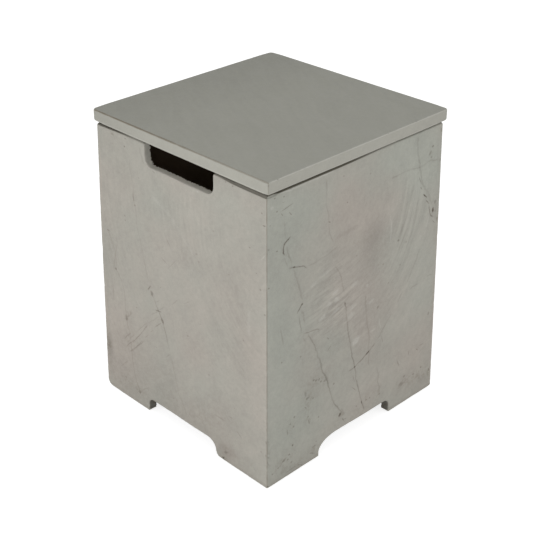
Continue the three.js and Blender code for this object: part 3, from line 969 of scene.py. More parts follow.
def unsealedAndShadedInside(mesh):
    # 1 for the faces that look inwards, which the outer coat doesn't reach; these are painted dark, partly as
    # unsealed backing and partly as painted shade inside the closed cover
    normals, centres = np.zeros((2, len(mesh.polygons) * 3))
    mesh.polygons.foreach_get("normal", normals)
    mesh.polygons.foreach_get("center", centres)
    normals, centres = normals.reshape(-1, 3), centres.reshape(-1, 3)
    rows = np.arange(len(centres))
    axis = np.abs(centres[:, :2]).argmax(axis=1)
    deep = outerHalfAt(centres[:, 2]) - np.abs(centres[rows, axis])
    inwards = -normals[rows, axis] * np.sign(centres[rows, axis])
    chosen = (deep > 9 * mm) & (inwards > 0.5) | (deep > 11 * mm) & (centres[:, 2] < 3 * mm)
    return chosen.astype(float)


def patchSum(places, patches):
    total = np.zeros(len(places))
    for u, v, wide, high, amount in patches:
        reach = ((places[:, 0] - u) / wide) ** 2 + ((places[:, 1] - v) / high) ** 2
        total += amount * np.exp(-1.2 * reach)
    return total


def paintLines(places, lines, rng, look):
    # For each of six sets of lines, the gap to its nearest line in half widths, and that line's darkness
    gaps = np.full((len(places), 6), 9.0)
    darks = np.zeros((len(places), 6))
    nearest = np.full((len(places), 6), 1e3)
    sets = [[] for _ in range(6)]
    for halfWide, dark, chosen in lines:
        line = swayed(chosen, rng, look)
        index = farthestSet(sets, line)
        sets[index].append(line)
        signed, inside = distanceToLine(places, line)
        uneven = 0.85 + 0.25 * np.sin(inside * 0.11 + 40 * dark)
        reach = look["lineReach"] + halfWide
        near = smoothStep(reach + look["fade"], reach, np.abs(signed))
        strength = dark * uneven * smoothStep(0, 6, inside) * near
        nearer = np.abs(signed) < nearest[:, index]
        nearest[nearer, index] = np.abs(signed[nearer])
        gaps[nearer, index] = signed[nearer] / halfWide
        darks[nearer, index] = strength[nearer]
    return gaps, darks


def paintSpots(places, spots, look):
    # For each of four sets of spots, the place in the nearest spot's own oval, and that spot's darkness
    ovals = np.full((len(places), 4, 3), 9.0)
    ovals[:, :, 2] = 0
    nearest = np.full((len(places), 4), 1e3)
    sets = [[] for _ in range(4)]
    for u, v, wide, high, turn, dark in spots:
        index = farthestSet(sets, np.array([[u, v]], float))
        sets[index].append(np.array([[u, v]], float))
        offset = places - np.array([u, v])
        c, s = math.cos(math.radians(turn)), math.sin(math.radians(turn))
        across = (offset[:, 0] * c + offset[:, 1] * s) / wide
        up = (offset[:, 1] * c - offset[:, 0] * s) / high
        away = np.linalg.norm(offset, axis=1)
        reach = look["spotReach"] + max(wide, high)
        near = smoothStep(reach + look["fade"], reach, away)
        nearer = away < nearest[:, index]
        nearest[nearer, index] = away[nearer]
        ovals[nearer, index, 0] = across[nearer]
        ovals[nearer, index, 1] = up[nearer]
        ovals[nearer, index, 2] = (dark * near)[nearer]
    return ovals


def paintBody(mesh, look):
    # Writes what the concrete's material reads: lines, spots, patches, edges with painted shade and light, and
    # the inside, painted dark partly as unsealed backing and partly as shade
    points = pointsOf(mesh)
    rng = np.random.default_rng(look["seed"])
    gaps = np.full((len(points), 6), 9.0)
    darks = np.zeros((len(points), 6))
    ovals = np.full((len(points), 4, 3), 9.0)
    ovals[:, :, 2] = 0
    patches = np.zeros((len(points), 3))
    edges = np.zeros((len(points), 3))
    edges[:, 0] = 30
    for name in faceTurns:
        places, lies = onFace(points, name)
        places = places[lies]
        gaps[lies], darks[lies] = paintLines(places, faceLines[name], rng, look)
        ovals[lies] = paintSpots(places, faceSpots[name], look)
        patches[lies, 0] = patchSum(places, warmPatches[name])
        patches[lies, 1] = patchSum(places, hatchPatches[name])
        patches[lies, 2] = patchSum(places, streakPatches[name])
        edges[lies, 0] = outerHalfAt(places[:, 1] * mm) / mm - np.abs(places[:, 0])
        edges[lies, 1] = patchSum(places, dirtPatches[name])
        edges[lies, 2] = patchSum(places, paintedShadeAndTonePatches[name])
    deep = outerHalfAt(points[:, 2]) - np.abs(points[:, :2]).max(axis=1)
    # Painted shade on the worn slope of the rim at the front corner, under the slab's overhang
    shadedWornSlope = (deep > 0.8 * mm) & (deep < 10 * mm) & (points[:, 2] > 499 * mm) & (points[:, 2] < 503.7 * mm)
    shadedWornSlope &= (points[:, 0] - 0.6 * points[:, 1] > 235 * mm) & (points[:, 0] + points[:, 1] < 3 * mm)
    edges[shadedWornSlope, 2] = look["rimShade"]
    # Painted shade in the arches, and brown smudges there, partly dirt and partly a tint of that shade
    inArch = (deep > 1.5 * mm) & (deep < 17 * mm) & (points[:, 2] > 3 * mm) & (points[:, 2] < 36 * mm)
    edges[inArch, 1:] = look["archDirtAndShade"], look["archShade"]
    # Painted light on the slot's jambs and sill
    inSlot = (deep > 1.5 * mm) & (deep < 15.5 * mm) & (points[:, 2] > 450 * mm) & (points[:, 2] < 502 * mm)
    edges[inSlot, 2] = look["slotShade"]
    writeValues(mesh, "lineGapsA", gaps[:, :3])
    writeValues(mesh, "lineGapsB", gaps[:, 3:])
    writeValues(mesh, "lineDarksA", darks[:, :3])
    writeValues(mesh, "lineDarksB", darks[:, 3:])
    for index in range(4):
        writeValues(mesh, "spots" + "ABCD"[index], ovals[:, index])
    writeValues(mesh, "patches", patches)
    writeValues(mesh, "edges", edges)
    writeValues(mesh, "inner", unsealedAndShadedInside(mesh), "FACE")


paintBody(body.data, paintLook)
shadeSmooth(body.data, bodyLook["sharpDegrees"])
# The casting leans a little towards the back right, as in the photograph
stood = pointsOf(body.data)
stood[:, :2] += np.array(bodyLook["lean"]) * np.clip(stood[:, 2:] / bodyHeight - 0.05, 0, 1)
setPoints(body.data, stood + np.array([0, 0, shellLow.z]))
print("body painted")


# The slab: a lattice box drawn in to rounded corners and edges

slabLook = {
    "edgeRound": 1.7 * mm,
    "edgeRoundChange": 0.4 * mm,
    "wornUnder": 1.6 * mm,
    "corners": {(1, -1): 1.1 * mm, (1, 1): 7 * mm, (-1, 1): 9 * mm, (-1, -1): 8 * mm},
    "spread": 1.003,
    "edgeSteps": [0, 0.5, 1.1, 1.8, 2.7, 3.8, 5.3, 7.6, 11],
    "cell": 6.6 * mm,
    "topUnevenness": 0.12 * mm,
    "undersideRoughness": 0.3 * mm,
    "edgeNibble": 0.3 * mm,
    "sharpDegrees": 36,
    "chips": [
        (199.2, -199, 15.5, 1.1), (199.6, -181, 19.2, 1), (-150, -199.8, 0.4, 1.3), (40, -199.8, 0.3, 1),
        (199.8, -60, 0.3, 1.1), (199.6, 120, 19.6, 0.9), (-199.6, 90, 19.4, 1.2), (-60, 199.7, 19.6, 1.1),
    ],
    "turn": 0.2,
    "shift": (2.0 * mm, 1.4 * mm),
}
slabHalf = slabHigh.x
slabThickness = slabHigh.z - slabLow.z


def latticePlaces(half, steps, cell):
    near = [step * mm for step in steps]
    middle = half - near[-1]
    count = round(2 * middle / cell)
    between = [-middle + 2 * middle * i / count for i in range(1, count)]
    return np.array([-half + n for n in near] + between + [half - n for n in reversed(near)])


def latticeBox(xs, ys, zs):
    # The surface of a lattice, as points and quads that face outwards
    found, points, quads = {}, [], []

    def corner(i, j, k):
        if (i, j, k) not in found:
            found[(i, j, k)] = len(points)
            points.append((xs[i], ys[j], zs[k]))
        return found[(i, j, k)]

    def quad(*cells):
        quads.append([corner(*cell) for cell in cells])

    lastX, lastY, lastZ = len(xs) - 1, len(ys) - 1, len(zs) - 1
    for i in range(lastX):
        for j in range(lastY):
            quad((i, j, 0), (i, j + 1, 0), (i + 1, j + 1, 0), (i + 1, j, 0))
            quad((i, j, lastZ), (i + 1, j, lastZ), (i + 1, j + 1, lastZ), (i, j + 1, lastZ))
    for k in range(lastZ):
        for i in range(lastX):
            quad((i, 0, k), (i + 1, 0, k), (i + 1, 0, k + 1), (i, 0, k + 1))
            quad((i, lastY, k), (i, lastY, k + 1), (i + 1, lastY, k + 1), (i + 1, lastY, k))
        for j in range(lastY):
            quad((0, j, k), (0, j, k + 1), (0, j + 1, k + 1), (0, j + 1, k))
            quad((lastX, j, k), (lastX, j + 1, k), (lastX, j + 1, k + 1), (lastX, j, k + 1))
    return np.array(points), np.array(quads)


def roundedBox(points, half, thickness, corners, edgeRounds):
    # Draws a lattice box in: first its four corners in plan, then its upper and lower edges
    size = np.abs(points[:, :2])
    inset = half - size.max(axis=1)
    for (right, back), radius in corners.items():
        middle = half - radius
        over = points[:, :2] * np.array([right, back]) - middle
        inCorner = (over > 0).all(axis=1)
        length = np.maximum(np.linalg.norm(over, axis=1), 1e-12)
        drawn = over * (over.max(axis=1) / length)[:, None]
        points[inCorner, 0] = right * (middle + drawn[inCorner, 0])
        points[inCorner, 1] = back * (middle + drawn[inCorner, 1])
    for upper in (False, True):
        drop = thickness - points[:, 2] if upper else points[:, 2].copy()
        side = edgeRounds - inset
        rise = edgeRounds - drop
        near = (side > 0) & (rise > 0)
        length = np.maximum(np.hypot(side, rise), 1e-12)
        scale = np.maximum(side, rise) / length
        move = np.where(near, side * (1 - scale), 0)
        outward = np.zeros_like(points[:, :2])
        outward[:, 0] = np.where(size[:, 0] >= size[:, 1] - 1e-9, 1, 0)
        outward[:, 1] = np.where(size[:, 1] >= size[:, 0] - 1e-9, 1, 0)
        for (right, back), radius in corners.items():
            over = points[:, :2] * np.array([right, back]) - (half - radius)
            inCorner = (over > 0).all(axis=1)
            way = over / np.maximum(np.linalg.norm(over, axis=1), 1e-12)[:, None]
            outward[inCorner] = way[inCorner]
        points[:, 0] -= np.sign(points[:, 0]) * outward[:, 0] * move
        points[:, 1] -= np.sign(points[:, 1]) * outward[:, 1] * move
        lift = np.where(near, rise * (1 - scale), 0)
        points[:, 2] += np.where(upper, -lift, lift)
    return inset


def buildSlab(look):
    across = latticePlaces(slabHalf, look["edgeSteps"], look["cell"])
    heights = [step * mm for step in look["edgeSteps"][:-2]]
    heights += [slabThickness / 2] + [slabThickness - height for height in reversed(heights)]
    points, quads = latticeBox(across, across, np.array(heights))
    flat = points * np.array([1, 1, 0.2])
    rounds = look["edgeRound"] + look["edgeRoundChange"] * lumps(flat, 0.06, 2, 2.0)
    rightSide = smoothStep(slabHalf - 9 * mm, slabHalf - 6 * mm, points[:, 0])
    rounds += look["wornUnder"] * rightSide * (points[:, 2] < slabThickness / 2)
    for (right, back), radius in look["corners"].items():
        away = np.linalg.norm(points[:, :2] - slabHalf * np.array([right, back]), axis=1)
        rounds += 0.16 * radius * (1 - smoothStep(8 * mm, 30 * mm, away))
    inset = roundedBox(points, slabHalf, slabThickness, look["corners"], rounds)
    top = slabThickness - points[:, 2] < 0.2 * mm
    under = points[:, 2] < 0.2 * mm
    away = smoothStep(2 * mm, 30 * mm, inset)
    points[:, 2] -= np.where(top, (0.5 + 0.5 * lumps(points, 0.09, 1)) * look["topUnevenness"] * away, 0)
    rough = np.clip(0.4 + lumps(points, 0.016, 3, 6.0), 0, 1.4)
    points[:, 2] += np.where(under, rough * look["undersideRoughness"] * away, 0)
    edge = (inset < 3 * mm) & (np.minimum(points[:, 2], slabThickness - points[:, 2]) < 3 * mm)
    nibble = np.clip(lumps(points, 0.011, 2, 9.0) - 0.2, 0, 1) * look["edgeNibble"]
    points[:, :2] -= np.sign(points[:, :2]) * np.where(edge, nibble, 0)[:, None]
    slab = newPiece("table_slab", points, quads)

    places = [np.array(chip[:3]) * mm for chip in look["chips"]]
    sizes = [np.array([1.4, 1, 0.8]) * chip[3] * mm for chip in look["chips"]]
    carve(slab, [lumpCutter("slabChips", places, sizes, 0.4, 2.3)])

    points = pointsOf(slab.data)
    corner = np.array([slabHalf, -slabHalf, slabThickness])
    writeValues(slab.data, "slabGaps", (corner - points) * np.array([1, -1, 1]) / mm)
    # The loose slab lies a little turned and off the middle, as in the photograph
    turn = math.radians(look["turn"])
    turned = points @ np.array([
        [math.cos(turn), math.sin(turn), 0], [-math.sin(turn), math.cos(turn), 0], [0, 0, 1],
    ])
    turned[:, :2] *= look["spread"]
    setPoints(slab.data, turned + np.array([*look["shift"], slabLow.z]))
    shadeSmooth(slab.data, look["sharpDegrees"])
    return slab


slab = buildSlab(slabLook)
print("slab:", triangleCount(slab), "triangles")


# Small helpers for node trees

def addNode(tree, kind, inputs=None, **settings):
    node = tree.nodes.new(kind)
    for name, value in settings.items():
        setattr(node, name, value)
    for name, value in (inputs or {}).items():
        if isinstance(value, bpy.types.NodeSocket):
            tree.links.new(value, node.inputs[name])
        else:
            node.inputs[name].default_value = value
    return node


def addBeside(kind, inputs, **settings):
    # A node in the tree that its linked inputs come from
    tree = next(value.id_data for value in inputs.values() if isinstance(value, bpy.types.NodeSocket))
    return addNode(tree, kind, inputs, **settings)


def maths(operation, first, second=0.0, clamp=False):
    inputs = {0: first, 1: second}
    return addBeside("ShaderNodeMath", inputs, operation=operation, use_clamp=clamp).outputs[0]


def times(first, second, clamp=False):
    return maths("MULTIPLY", first, second, clamp)


def plus(first, second):
    return maths("ADD", first, second)


def minus(first, second, clamp=False):
    return maths("SUBTRACT", first, second, clamp)


def diagonal(first, second):
    return maths("SQRT", plus(times(first, first), times(second, second)))


def vectorMaths(operation, first, second):
    inputs = {0: first, "Scale" if operation == "SCALE" else 1: second}
    return addBeside("ShaderNodeVectorMath", inputs, operation=operation).outputs[0]


def combined(x=0.0, y=0.0, z=0.0):
    return addBeside("ShaderNodeCombineXYZ", {0: x, 1: y, 2: z}).outputs[0]


def parts(vector):
    return addBeside("ShaderNodeSeparateXYZ", {0: vector}).outputs


def noiseAt(vector, scale, detail, roughness=0.5):
    inputs = {"Vector": vector, "Scale": scale, "Detail": detail, "Roughness": roughness}
    return addBeside("ShaderNodeTexNoise", inputs).outputs[0]


def mixColour(share, first, second):
    return addBeside("ShaderNodeMix", {0: share, 6: first, 7: second}, data_type="RGBA").outputs[2]


def blended(share, first, second):
    return addBeside("ShaderNodeMix", {0: share, 2: first, 3: second}).outputs[0]


def ramped(value, low, high, toLow=0.0, toHigh=1.0):
    # A value carried from one range to another, with soft ends
    inputs = {0: value, 1: low, 2: high, 3: toLow, 4: toHigh}
    return addBeside("ShaderNodeMapRange", inputs, interpolation_type="SMOOTHSTEP").outputs[0]


def centred(value, strength):
    # A value from 0 to 1 as a swing of the given size about 0
    return times(minus(value, 0.5), strength)


def total(values):
    summed = values[0]
    for value in values[1:]:
        summed = plus(summed, value)
    return summed


def newTree(name, kind, inputs, outputs):
    # A tree with named inputs, each a default number or a kind of socket, and its inputs and outputs by name
    tree = bpy.data.node_groups.new(name, kind + "NodeTree")
    for label, value in inputs.items():
        socket = value if isinstance(value, str) else {float: "Float", int: "Int"}[type(value)]
        made = tree.interface.new_socket(name=label, in_out="INPUT", socket_type="NodeSocket" + socket)
        if socket is not value:
            made.default_value = value
    for label, socket in outputs.items():
        tree.interface.new_socket(name=label, in_out="OUTPUT", socket_type="NodeSocket" + socket)
    return tree, tree.nodes.new("NodeGroupInput").outputs, tree.nodes.new("NodeGroupOutput").inputs


def useGroup(tree, group, inputs):
    return addNode(tree, "ShaderNodeGroup", inputs, node_tree=group).outputs


def randomAmount(tree, seed, least, most):
    inputs = {"Seed": seed, "Min": least, "Max": most}
    node = addNode(tree, "FunctionNodeRandomValue", inputs, data_type="FLOAT")
    return next(output for output in node.outputs if output.enabled)


def endTree(tree, geometry, finish, result):
    # The last two nodes of every geometry tree
    real = addNode(tree, "GeometryNodeRealizeInstances", {"Geometry": geometry})
    made = addNode(tree, "GeometryNodeSetMaterial", {"Geometry": real.outputs[0], "Material": finish})
    tree.links.new(made.outputs[0], result["Geometry"])
    return tree


def growOn(piece, tree, values):
    # Runs a geometry tree on a piece with the given inputs and keeps the result as its plain mesh
    modifier = piece.modifiers.new(tree.name, "NODES")
    modifier.node_group = tree
    sockets = {item.name: item.identifier for item in tree.interface.items_tree if item.in_out == "INPUT"}
    for name, value in values.items():
        modifier[sockets[name]] = value
    bakeModifiers(piece)


# Effects that more than one material uses

def cementClouds():
    # Large soft patches, a finer mottle and a fine grain, each about 0 to 1
    tree, given, result = newTree("cementClouds", "Shader", {
        "Vector": "Vector", "Patch Scale": 7.0, "Mottle Scale": 38.0, "Grain Scale": 420.0,
    }, {"Patch": "Float", "Mottle": "Float", "Grain": "Float"})
    settings = {
        "Patch": {"Scale": given["Patch Scale"], "Detail": 3.0, "Roughness": 0.5, "Distortion": 0.6},
        "Mottle": {"Scale": given["Mottle Scale"], "Detail": 5.0, "Roughness": 0.6, "Distortion": 0.3},
        "Grain": {"Scale": given["Grain Scale"], "Detail": 4.0, "Roughness": 0.65, "Distortion": 0.0},
    }
    for name, inputs in settings.items():
        cloud = addNode(tree, "ShaderNodeTexNoise", {"Vector": given["Vector"], **inputs})
        tree.links.new(ramped(cloud.outputs[0], 0.28, 0.72), result[name])
    return tree


def trowelStrokes():
    # Long thin strokes along the vector's X, from 0 to 1
    tree, given, result = newTree("trowelStrokes", "Shader", {
        "Vector": "Vector", "Length": 0.11, "Width": 0.004, "Sway": 0.006,
    }, {"Stroke": "Float"})
    bend = addNode(tree, "ShaderNodeTexNoise", {"Vector": given["Vector"], "Scale": 9.0, "Detail": 1.0})
    away = vectorMaths("SUBTRACT", bend.outputs[1], (0.5, 0.5, 0.5))
    moved = vectorMaths("ADD", given["Vector"], vectorMaths("SCALE", away, given["Sway"]))
    scaled = vectorMaths("DIVIDE", moved, combined(given["Length"], given["Width"], given["Width"]))
    tree.links.new(ramped(noiseAt(scaled, 1.0, 3.0, 0.6), 0.3, 0.7), result["Stroke"])
    return tree


def pinHoles():
    # Scattered round pores: 1 inside a pore and 0 outside
    tree, given, result = newTree("pinHoles", "Shader", {
        "Vector": "Vector", "Spacing": 0.012, "Size": 0.05, "Share": 0.3,
    }, {"Pore": "Float"})
    scale = maths("DIVIDE", 1.0, given["Spacing"])
    cells = addNode(tree, "ShaderNodeTexVoronoi", {"Vector": given["Vector"], "Scale": scale})
    cell = addNode(tree, "ShaderNodeSeparateColor", {0: cells.outputs["Color"]})
    chosen = maths("LESS_THAN", cell.outputs[0], given["Share"])
    size = times(given["Size"], plus(cell.outputs[1], 0.5))
    near = maths("DIVIDE", cells.outputs["Distance"], size)
    pore = times(ramped(near, 0.6, 1.2, 1.0, 0.0), chosen)
    tree.links.new(pore, result["Pore"])
    return tree


def edgeWearAndHighlight():
    # Along an edge, for rubbed wear and for painted highlights: the edge's closeness broken up by a mottle
    tree, given, result = newTree("edgeWearAndHighlight", "Shader", {
        "Vector": "Vector", "Closeness": 0.0, "Scale": 60.0,
    }, {"WearAndHighlight": "Float"})
    breaks = noiseAt(given["Vector"], given["Scale"], 3.0, 0.6)
    uneven = plus(given["Closeness"], minus(breaks, 0.62))
    tree.links.new(ramped(uneven, 0.1, 0.75), result["WearAndHighlight"])
    return tree


clouds = cementClouds()
strokes = trowelStrokes()
pores = pinHoles()
edgeWearAndHighlightTree = edgeWearAndHighlight()


# Finishes

def newFinish(name, roughness, specular=0.4):
    material = bpy.data.materials.new(name)
    material.use_nodes = True
    tree = material.node_tree
    shader = tree.nodes["Principled BSDF"]
    shader.inputs["Roughness"].default_value = roughness
    shader.inputs["Specular IOR Level"].default_value = specular
    return material, tree, shader


def dressShader(shader, colour, rough, height=None, strength=0.0, distance=0.0):
    tree = shader.id_data
    tree.links.new(colour, shader.inputs["Base Color"])
    tree.links.new(rough, shader.inputs["Roughness"])
    if height:
        bump = addNode(tree, "ShaderNodeBump", {"Strength": strength, "Distance": distance, "Height": height})
        tree.links.new(bump.outputs[0], shader.inputs["Normal"])


def objectPlace(tree):
    return addNode(tree, "ShaderNodeTexCoord").outputs["Object"]


def turnedPlace(vector, degrees):
    # The place turned about Z
    turn = (0, 0, math.radians(degrees))
    return addBeside("ShaderNodeMapping", {"Vector": vector, "Rotation": turn}).outputs[0]


def readValues(tree, name):
    # What was written on the mesh by that name, as one number and as three
    read = addNode(tree, "ShaderNodeAttribute", attribute_name=name).outputs
    return read["Fac"], parts(read["Vector"])


bodyConcrete = {
    "cool": (0.372, 0.3765, 0.335, 1),
    "warm": (0.398, 0.363, 0.324, 1),
    "stain": (0.092, 0.073, 0.056, 1),
    # A brown for stains on the edges and the foot, which also tints the painted shade in the arches
    "edgeStainAndShadeBrown": (0.17, 0.145, 0.11, 1),
    # The colour of the painted shadow along the rim, under the slab
    "rimShadow": (0.058, 0.051, 0.034, 1),
    "light": (0.56, 0.55, 0.51, 1),
    # The inside: darker as unsealed backing, and as painted shade inside the closed cover
    "inside": (0.115, 0.08, 0.048, 1),
    "lineStrength": 0.92,
    "shadeStrength": 0.26,
    "unevenness": (0.08, 0.075, 0.085, 0.07),
    "hatchTurn": 12,
    "arcCentre": (0.105, 0.43),
    # On the right side and on the front side, by metres from the left corner towards the front one:
    # how much lower the rim's painted shadow reaches, and how strong it is
    "rimShadowReach": ((0.16, 0.23, -0.0007, 0.0006), (0.21, 0.25, 0.0, 0.0021)),
    "rimShadowStrength": ((0.15, 0.22, 0.25, 0.9), (0.16, 0.21, 0.36, 0.6)),
}


def speckled(place, cloud, strengths):
    # Unevenness of the cement at four sizes, as a share to lighten by
    speck = ramped(noiseAt(place, 150.0, 4.0, 0.7), 0.28, 0.72)
    sizes = [cloud["Patch"], cloud["Mottle"], speck, cloud["Grain"]]
    return total([centred(size, strength) for size, strength in zip(sizes, strengths)])


def lightened(colour, share):
    return vectorMaths("SCALE", colour, plus(1.0, share))


def stroked(tree, vector, length, width, sway):
    values = {"Vector": vector, "Length": length, "Width": width, "Sway": sway}
    return useGroup(tree, strokes, values)["Stroke"]


def edgeWearAndHighlightAt(tree, place, closeness, scale):
    return useGroup(tree, edgeWearAndHighlightTree, {"Vector": place, "Closeness": closeness, "Scale": scale})["WearAndHighlight"]


def faceMarks(tree, place, grain):
    # Darkness of the painted lines and spots, negative where they are lighter
    waver = noiseAt(place, 190.0, 3.0, 0.6)
    offset = centred(waver, 3.2)
    marks = []
    for half in "AB":
        gaps = readValues(tree, "lineGaps" + half)[1]
        darks = readValues(tree, "lineDarks" + half)[1]
        for index in range(3):
            gap = maths("ABSOLUTE", plus(gaps[index], offset))
            core = ramped(gap, 1.5, 0.4)
            halo = ramped(gap, 5.0, 0.5, 0.0, 0.22)
            marks.append(times(plus(core, halo), darks[index]))
    for letter in "ABCD":
        oval = readValues(tree, "spots" + letter)[1]
        away = diagonal(oval[0], oval[1])
        uneven = plus(away, centred(waver, 2.0))
        marks.append(times(ramped(uneven, 1.5, 0.5), oval[2]))
    broken = ramped(grain, 0.05, 0.6, 0.6, 1.05)
    return times(total(marks), broken)


def castConcrete(look):
    material, tree, shader = newFinish("castConcrete", 0.84, 0.3)
    place = objectPlace(tree)
    x, y, z = parts(place)
    cloud = useGroup(tree, clouds, {"Vector": place})
    warm, hatched, streaked = readValues(tree, "patches")[1]
    # The third value is painted shade and light, together with the cement's own tone
    fromEdge, dirtAndArchShade, paintedShadeAndTone = readValues(tree, "edges")[1]
    warmth = total([times(warm, 0.5), centred(noiseAt(place, 9.0, 3.0), 0.65), 0.5])
    colour = mixColour(ramped(warmth, 0.1, 0.9), look["cool"], look["warm"])

    # The faces laid out flat, for strokes that follow the hand of whoever trowelled them
    along = plus(x, y)
    turnedSide = times(maths("GREATER_THAN", minus(x, y), 0.0), 0.7)
    flat = combined(along, z, turnedSide)
    hatch = stroked(tree, turnedPlace(flat, -look["hatchTurn"]), 0.038, 0.0052, 0.012)
    brushed = stroked(tree, turnedPlace(flat, -40), 0.11, 0.011, 0.05)
    right = minus(along, look["arcCentre"][0])
    over = minus(z, look["arcCentre"][1])
    radius = diagonal(right, over)
    angle = times(maths("ARCTAN2", over, right), 0.22)
    arcs = stroked(tree, combined(angle, radius, turnedSide), 0.11, 0.008, 0.012)

    closeness = ramped(fromEdge, 10.0, 2.0)
    lighten = total([
        speckled(place, cloud, look["unevenness"]),
        times(paintedShadeAndTone, -look["shadeStrength"]),
        times(centred(hatch, 0.2), hatched),
        times(centred(arcs, 0.2), plus(streaked, 0.04)),
        centred(brushed, 0.03),
        times(closeness, 0.02),
    ])
    colour = lightened(colour, lighten)

    marks = faceMarks(tree, place, cloud["Grain"])
    darkShare = times(marks, look["lineStrength"], clamp=True)
    colour = mixColour(darkShare, colour, look["stain"])
    lightShare = times(marks, -0.75, clamp=True)
    colour = mixColour(lightShare, colour, look["light"])
    # Brown smudges: dirt from the listed patches, and in the arches a brown tint on the painted shade
    smudge = times(ramped(noiseAt(place, 120.0, 5.0, 0.7), 0.42, 0.68), dirtAndArchShade)
    colour = mixColour(times(smudge, 0.6, clamp=True), colour, look["edgeStainAndShadeBrown"])
    pore = useGroup(tree, pores, {"Vector": place, "Spacing": 0.016, "Size": 0.05, "Share": 0.25})["Pore"]
    colour = mixColour(times(pore, 0.5), colour, look["stain"])

    # A thin warm line on the upright edges
    rub = edgeWearAndHighlightAt(tree, place, ramped(fromEdge, 2.2, 0.3), 45.0)
    colour = mixColour(times(rub, 0.5), colour, look["edgeStainAndShadeBrown"])
    # Painted shadow of the slab along the top of the rim, most near the front corner and at the left one,
    # where it lies lower
    fromCorner = minus(x, times(y, 0.6))
    onFront = ramped(plus(x, y), 0.004, 0.0)
    inwards = maths("MAXIMUM", x, y)
    lower = blended(onFront, *[ramped(fromCorner, *reach) for reach in look["rimShadowReach"]])
    lower = plus(lower, ramped(inwards, -0.125, -0.19, 0.0, 0.0016))
    shadowed = blended(onFront, *[ramped(fromCorner, *strength) for strength in look["rimShadowStrength"]])
    shadowed = maths("MAXIMUM", shadowed, ramped(inwards, -0.09, -0.14, 0.3, 0.75))
    rimShadowShare = times(ramped(plus(z, lower), 0.5033, 0.5043), shadowed)
    colour = mixColour(rimShadowShare, colour, look["rimShadow"])
    alongFoot = edgeWearAndHighlightAt(tree, place, ramped(z, 0.016, 0.003), 70.0)
    colour = mixColour(times(alongFoot, 0.18), colour, look["edgeStainAndShadeBrown"])
    # The inside painted dark: unsealed backing and painted shade
    colour = mixColour(readValues(tree, "inner")[0], colour, look["inside"])

    rough = ramped(cloud["Mottle"], 0.0, 1.0, 0.78, 0.92)
    height = total([
        times(cloud["Grain"], 0.14),
        times(cloud["Mottle"], 0.3),
        times(times(hatch, hatched), 0.4),
        times(darkShare, -0.8),
        times(pore, -0.9),
    ])
    dressShader(shader, colour, rough, height, 0.7, 0.0006)
    return material


slabConcreteLook = {
    # The top a little darker than the sides: painted shade where less light falls from above
    "top": (0.360, 0.358, 0.317, 1),
    "side": (0.374, 0.367, 0.325, 1),
    "light": (0.56, 0.55, 0.51, 1),
    "stain": (0.165, 0.143, 0.107, 1),
    "unevenness": (0.04, 0.045, 0.045, 0.04),
}


def slabConcrete(look):
    material, tree, shader = newFinish("slabConcrete", 0.7, 0.35)
    place = objectPlace(tree)
    cloud = useGroup(tree, clouds, {"Vector": place, "Patch Scale": 6.0, "Mottle Scale": 46.0})
    # Millimetres from the slab's right side, its front side and its top, whichever way it lies
    fromRight, fromFront, fromTop = readValues(tree, "slabGaps")[1]
    # The top painted a little darker than the sides, as painted shade
    colour = mixColour(ramped(fromTop, 0.9, 0.1), look["side"], look["top"])
    swept = stroked(tree, turnedPlace(place, 28), 0.3, 0.012, 0.05)
    lighten = total([
        speckled(place, cloud, look["unevenness"]),
        centred(swept, 0.035),
        # Painted shade and light: lighter towards the front and right sides, darker towards the back and left
        # ones
        times(minus(200.0, fromFront), 0.00004),
        times(minus(200.0, fromRight), 0.00012),
        ramped(fromRight, 210.0, 400.0, 0.0, -0.09),
        ramped(fromFront, 200.0, 400.0, 0.0, -0.03),
    ])
    colour = lightened(colour, lighten)

    # A brown line over the front side; painted highlights over the right side and round the foot
    frontEdge = edgeWearAndHighlightAt(tree, place, ramped(diagonal(fromFront, fromTop), 3.4, 0.3), 55.0)
    overFront = times(frontEdge, ramped(fromRight, 60.0, 300.0, 0.5, 0.95))
    colour = mixColour(overFront, colour, look["stain"])
    rightHighlight = edgeWearAndHighlightAt(tree, place, ramped(diagonal(fromRight, fromTop), 2.4, 0.3), 55.0)
    rightHighlightShare = times(rightHighlight, ramped(fromFront, 2.0, 8.0, 0.0, 0.38))
    colour = mixColour(rightHighlightShare, colour, look["light"])
    # Painted highlight along the slab's lower edges
    foot = edgeWearAndHighlightAt(tree, place, ramped(fromTop, 16.2, 17.6), 55.0)
    colour = mixColour(times(foot, 0.26), colour, look["light"])
    upright = edgeWearAndHighlightAt(tree, place, ramped(diagonal(fromFront, fromRight), 2.6, 0.3), 55.0)
    colour = mixColour(times(upright, 0.28), colour, look["stain"])
    pore = useGroup(tree, pores, {"Vector": place, "Spacing": 0.02, "Size": 0.03, "Share": 0.2})["Pore"]
    colour = mixColour(times(pore, 0.35), colour, look["stain"])

    rough = ramped(cloud["Mottle"], 0.0, 1.0, 0.62, 0.78)
    height = total([
        times(cloud["Grain"], 0.06),
        times(cloud["Mottle"], 0.12),
        times(swept, 0.1),
        times(pore, -0.8),
    ])
    dressShader(shader, colour, rough, height, 0.6, 0.0005)
    return material


